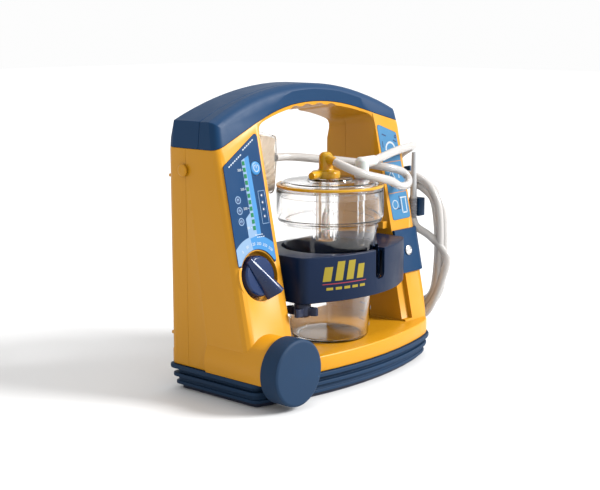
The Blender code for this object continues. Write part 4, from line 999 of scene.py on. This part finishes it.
        px, py = foot_of("patient_elbow")[0] + 8.4, top_of("patient_elbow")[1] - 8.4
        body = lathe("white_body", [(0, 236.4), (4.8, 235.8), (7.4, 232.6), (7.4, 219), (8.4, 217.6),
            (8.4, 213.4), (2.6, 213.4),
                                    (2.6, 209), (0, 209)], Matrix.Translation((px, py, 0)), rounding=1.2)
        start, end = np.array([px, py, 229.6]), np.array(PATIENT_ROUTE[0])
        arm = sweep("white_arm", start + (end - start) * t, np.linspace(6.6, 5.7, 9), 28)
        keep(joined("white_elbow", body, arm), MATERIALS["white"], "canister_unit", "patient_elbow")


class PUMP_OT_filter(PumpOperator):
    """The pleated filter in its clear case"""

    bl_idname = "pump.filter"
    bl_label = "Filter"

    def execute(self, context):
        keep(rounded_copy("filter_case_front", 0.0006), MATERIALS["case_clear"], "case", "filter_case_front")
        keep(rounded_copy("filter_case_rear", 0.0006), MATERIALS["case_clear"], "case", "filter_case_rear")
        self.pleated()
        return {"FINISHED"}

    def pleated(self):
        """Folds that fan out from the lower left corner: depth is a triangle wave of the angle about it."""
        low, high = foot_of("filter_media"), top_of("filter_media")
        corner = np.array([low[0] - 14, low[2] - 10])
        folds = sizes().pleats
        u, v = np.meshgrid(np.linspace(0, 1, 240), np.linspace(0, 1, 60), indexing="ij")
        x = low[0] + (high[0] - low[0]) * u
        roof = np.interp(x, [-81, -62, -26, -25], [high[2], high[2], high[2] - 9, high[2] - 10])
        z = low[2] + (roof - low[2]) * v
        angle = np.arctan2(z - corner[1], x - corner[0])
        phase = angle / (np.pi / 2) * folds
        wave = np.abs(2 * (phase - np.floor(phase + 0.5)))
        depth = low[1] + 0.1 + PLEAT_DEPTH * wave
        front = np.stack([x, depth, z], axis=-1)
        back = np.stack([x, high[1] - 0.1 - PLEAT_DEPTH * wave, z], axis=-1)
        edge = np.concatenate([front[:, 0], front[-1], front[::-1, -1], front[0, ::-1]])
        back_edge = np.concatenate([back[:, 0], back[-1], back[::-1, -1], back[0, ::-1]])
        sheets = [surface("pleats_front", front), surface("pleats_back", back),
                  surface("pleats_edge", np.stack([edge, back_edge], axis=0))]
        piece = joined("filter_pleats", *sheets)
        tidy(piece.data)
        shade(piece.data, 25)
        keep(piece, MATERIALS["paper"], "case", "filter_media")


class PUMP_OT_holder(PumpOperator):
    """The clamp knob under the canister holder, and the plain print on the holder's front"""

    bl_idname = "pump.holder"
    bl_label = "Holder details"

    def execute(self, context):
        keep(rounded_copy("holder_clamp_knob", 0.0007), MATERIALS["black"], "clamp_knob", "holder_clamp_knob")
        self.print_on_front()
        return {"FINISHED"}

    def front_y(self, x):
        return HOLDER_BOW_Y - np.sqrt(HOLDER_BOW**2 - (x - HOLDER_BOW_X) ** 2)

    def stripe(self, name, x0, x1, z0, z1, lean=0.0):
        """A printed stripe that follows the holder's curved front: y = centre - sqrt(R^2 - x^2)."""
        x = np.linspace(x0, x1, 24)[:, None]
        z = np.array([z0, z0, z1, z1])[None, :]
        out = np.array([-0.05, 0.12, 0.12, -0.05])[None, :]
        shift = lean * (z - z0)
        points = np.stack([x + shift, self.front_y(x + shift) - out, z + 0 * x], axis=-1)
        return surface(name, points, round_columns=True, caps=True)

    def print_on_front(self):
        bars = [self.stripe(f"drop_bar_{i}", -58 + i * 13, -49.5 + i * 13, 117, 117 + h, 0.16)
                for i, h in enumerate((15, 20, 20, 15))]
        keep(joined("holder_bars", *bars), MATERIALS["gold_ink"], "case")
        keep(self.stripe("holder_rule", -58, -6, 113.6, 114.6), MATERIALS["red_ink"], "case")
        dashes = [self.stripe(f"dash_{i}", -54.2 + i * 9.9, -47.2 + i * 9.9, 107.6, 110.4) for i in range(5)]
        keep(joined("holder_dashes", *dashes), MATERIALS["gold_ink"], "case")


class PUMP_OT_stage(PumpOperator):
    """A pale floor, soft lights and the camera"""

    bl_idname = "pump.stage"
    bl_label = "Stage"

    def execute(self, context):
        self.floor()
        self.lights()
        self.camera()
        return {"FINISHED"}

    def floor(self):
        mesh = bpy.data.meshes.new("floor")
        far = 8.0
        mesh.from_pydata([(-far, -far, 0), (far, -far, 0), (far, far, 0), (-far, far, 0)], [], [(0, 1, 2, 3)])
        obj = bpy.data.objects.new("floor", mesh)
        bpy.context.scene.collection.objects.link(obj)
        mesh.materials.append(Finish("floor_finish", (0.62, 0.62, 0.62), 0.7,
            Specular_IOR_Level=0.1).material)

    def lights(self):
        world = bpy.data.worlds.new("studio")
        world.use_nodes = True
        world.node_tree.nodes["Background"].inputs["Color"].default_value = (1, 1, 1, 1)
        world.node_tree.nodes["Background"].inputs["Strength"].default_value = WORLD_STRENGTH
        bpy.context.scene.world = world
        self.sun(SUN_FROM, SUN_STRENGTH)
        self.light("top", (0.5, 0.2, 2.2), 1.2, 9)

    def sun(self, place, strength):
        data = bpy.data.lights.new("key", "SUN")
        data.energy = strength
        data.angle = math.radians(SUN_SPREAD)
        obj = bpy.data.objects.new("key", data)
        obj.rotation_euler = (-Vector(place)).to_track_quat("-Z", "Y").to_euler()
        bpy.context.scene.collection.objects.link(obj)

    def light(self, name, place, size, power):
        data = bpy.data.lights.new(name, "AREA")
        data.size = size
        data.energy = power
        obj = bpy.data.objects.new(name, data)
        obj.location = place
        aim = Vector((0, 0, 0.15)) - Vector(place)
        obj.rotation_euler = aim.to_track_quat("-Z", "Y").to_euler()
        bpy.context.scene.collection.objects.link(obj)

    def camera(self):
        data = bpy.data.cameras.new("camera")
        data.sensor_width = 36.0
        data.lens = CAMERA_LENS
        obj = bpy.data.objects.new("camera", data)
        obj.location = CAMERA_PLACE
        obj.rotation_euler = (math.radians(90 - CAMERA_PITCH), 0, -math.radians(CAMERA_AZIMUTH))
        bpy.context.scene.collection.objects.link(obj)
        bpy.context.scene.camera = obj
        bpy.context.scene.view_settings.view_transform = "Standard"
        bpy.context.scene.view_settings.exposure = EXPOSURE


class PUMP_PT_panel(bpy.types.Panel):
    """The pump's operators"""

    bl_idname = "PUMP_PT_panel"
    bl_label = "Suction pump"
    bl_space_type = "VIEW_3D"
    bl_region_type = "UI"
    bl_category = "Pump"

    def draw(self, context):
        for operator in OPERATORS:
            self.layout.operator(operator.bl_idname)


OPERATORS = (PUMP_OT_tubes, PUMP_OT_case, PUMP_OT_controls, PUMP_OT_guide, PUMP_OT_canister, PUMP_OT_filter,
             PUMP_OT_holder, PUMP_OT_stage)
CLASSES = (PumpSizes, PumpColours, *OPERATORS, PUMP_PT_panel)


def register():
    for item in CLASSES:
        bpy.utils.register_class(item)
    bpy.types.Scene.pump_sizes = PointerProperty(type=PumpSizes)
    bpy.types.Scene.pump_colours = PointerProperty(type=PumpColours)


def unregister():
    del bpy.types.Scene.pump_colours
    del bpy.types.Scene.pump_sizes
    for item in reversed(CLASSES):
        bpy.utils.unregister_class(item)


def main():
    register()
    make_materials()
    for operator in OPERATORS:
        group, name = operator.bl_idname.split(".")
        getattr(getattr(bpy.ops, group), name)()
    bpy.context.view_layer.update()


if __name__ == "__main__":
    main()
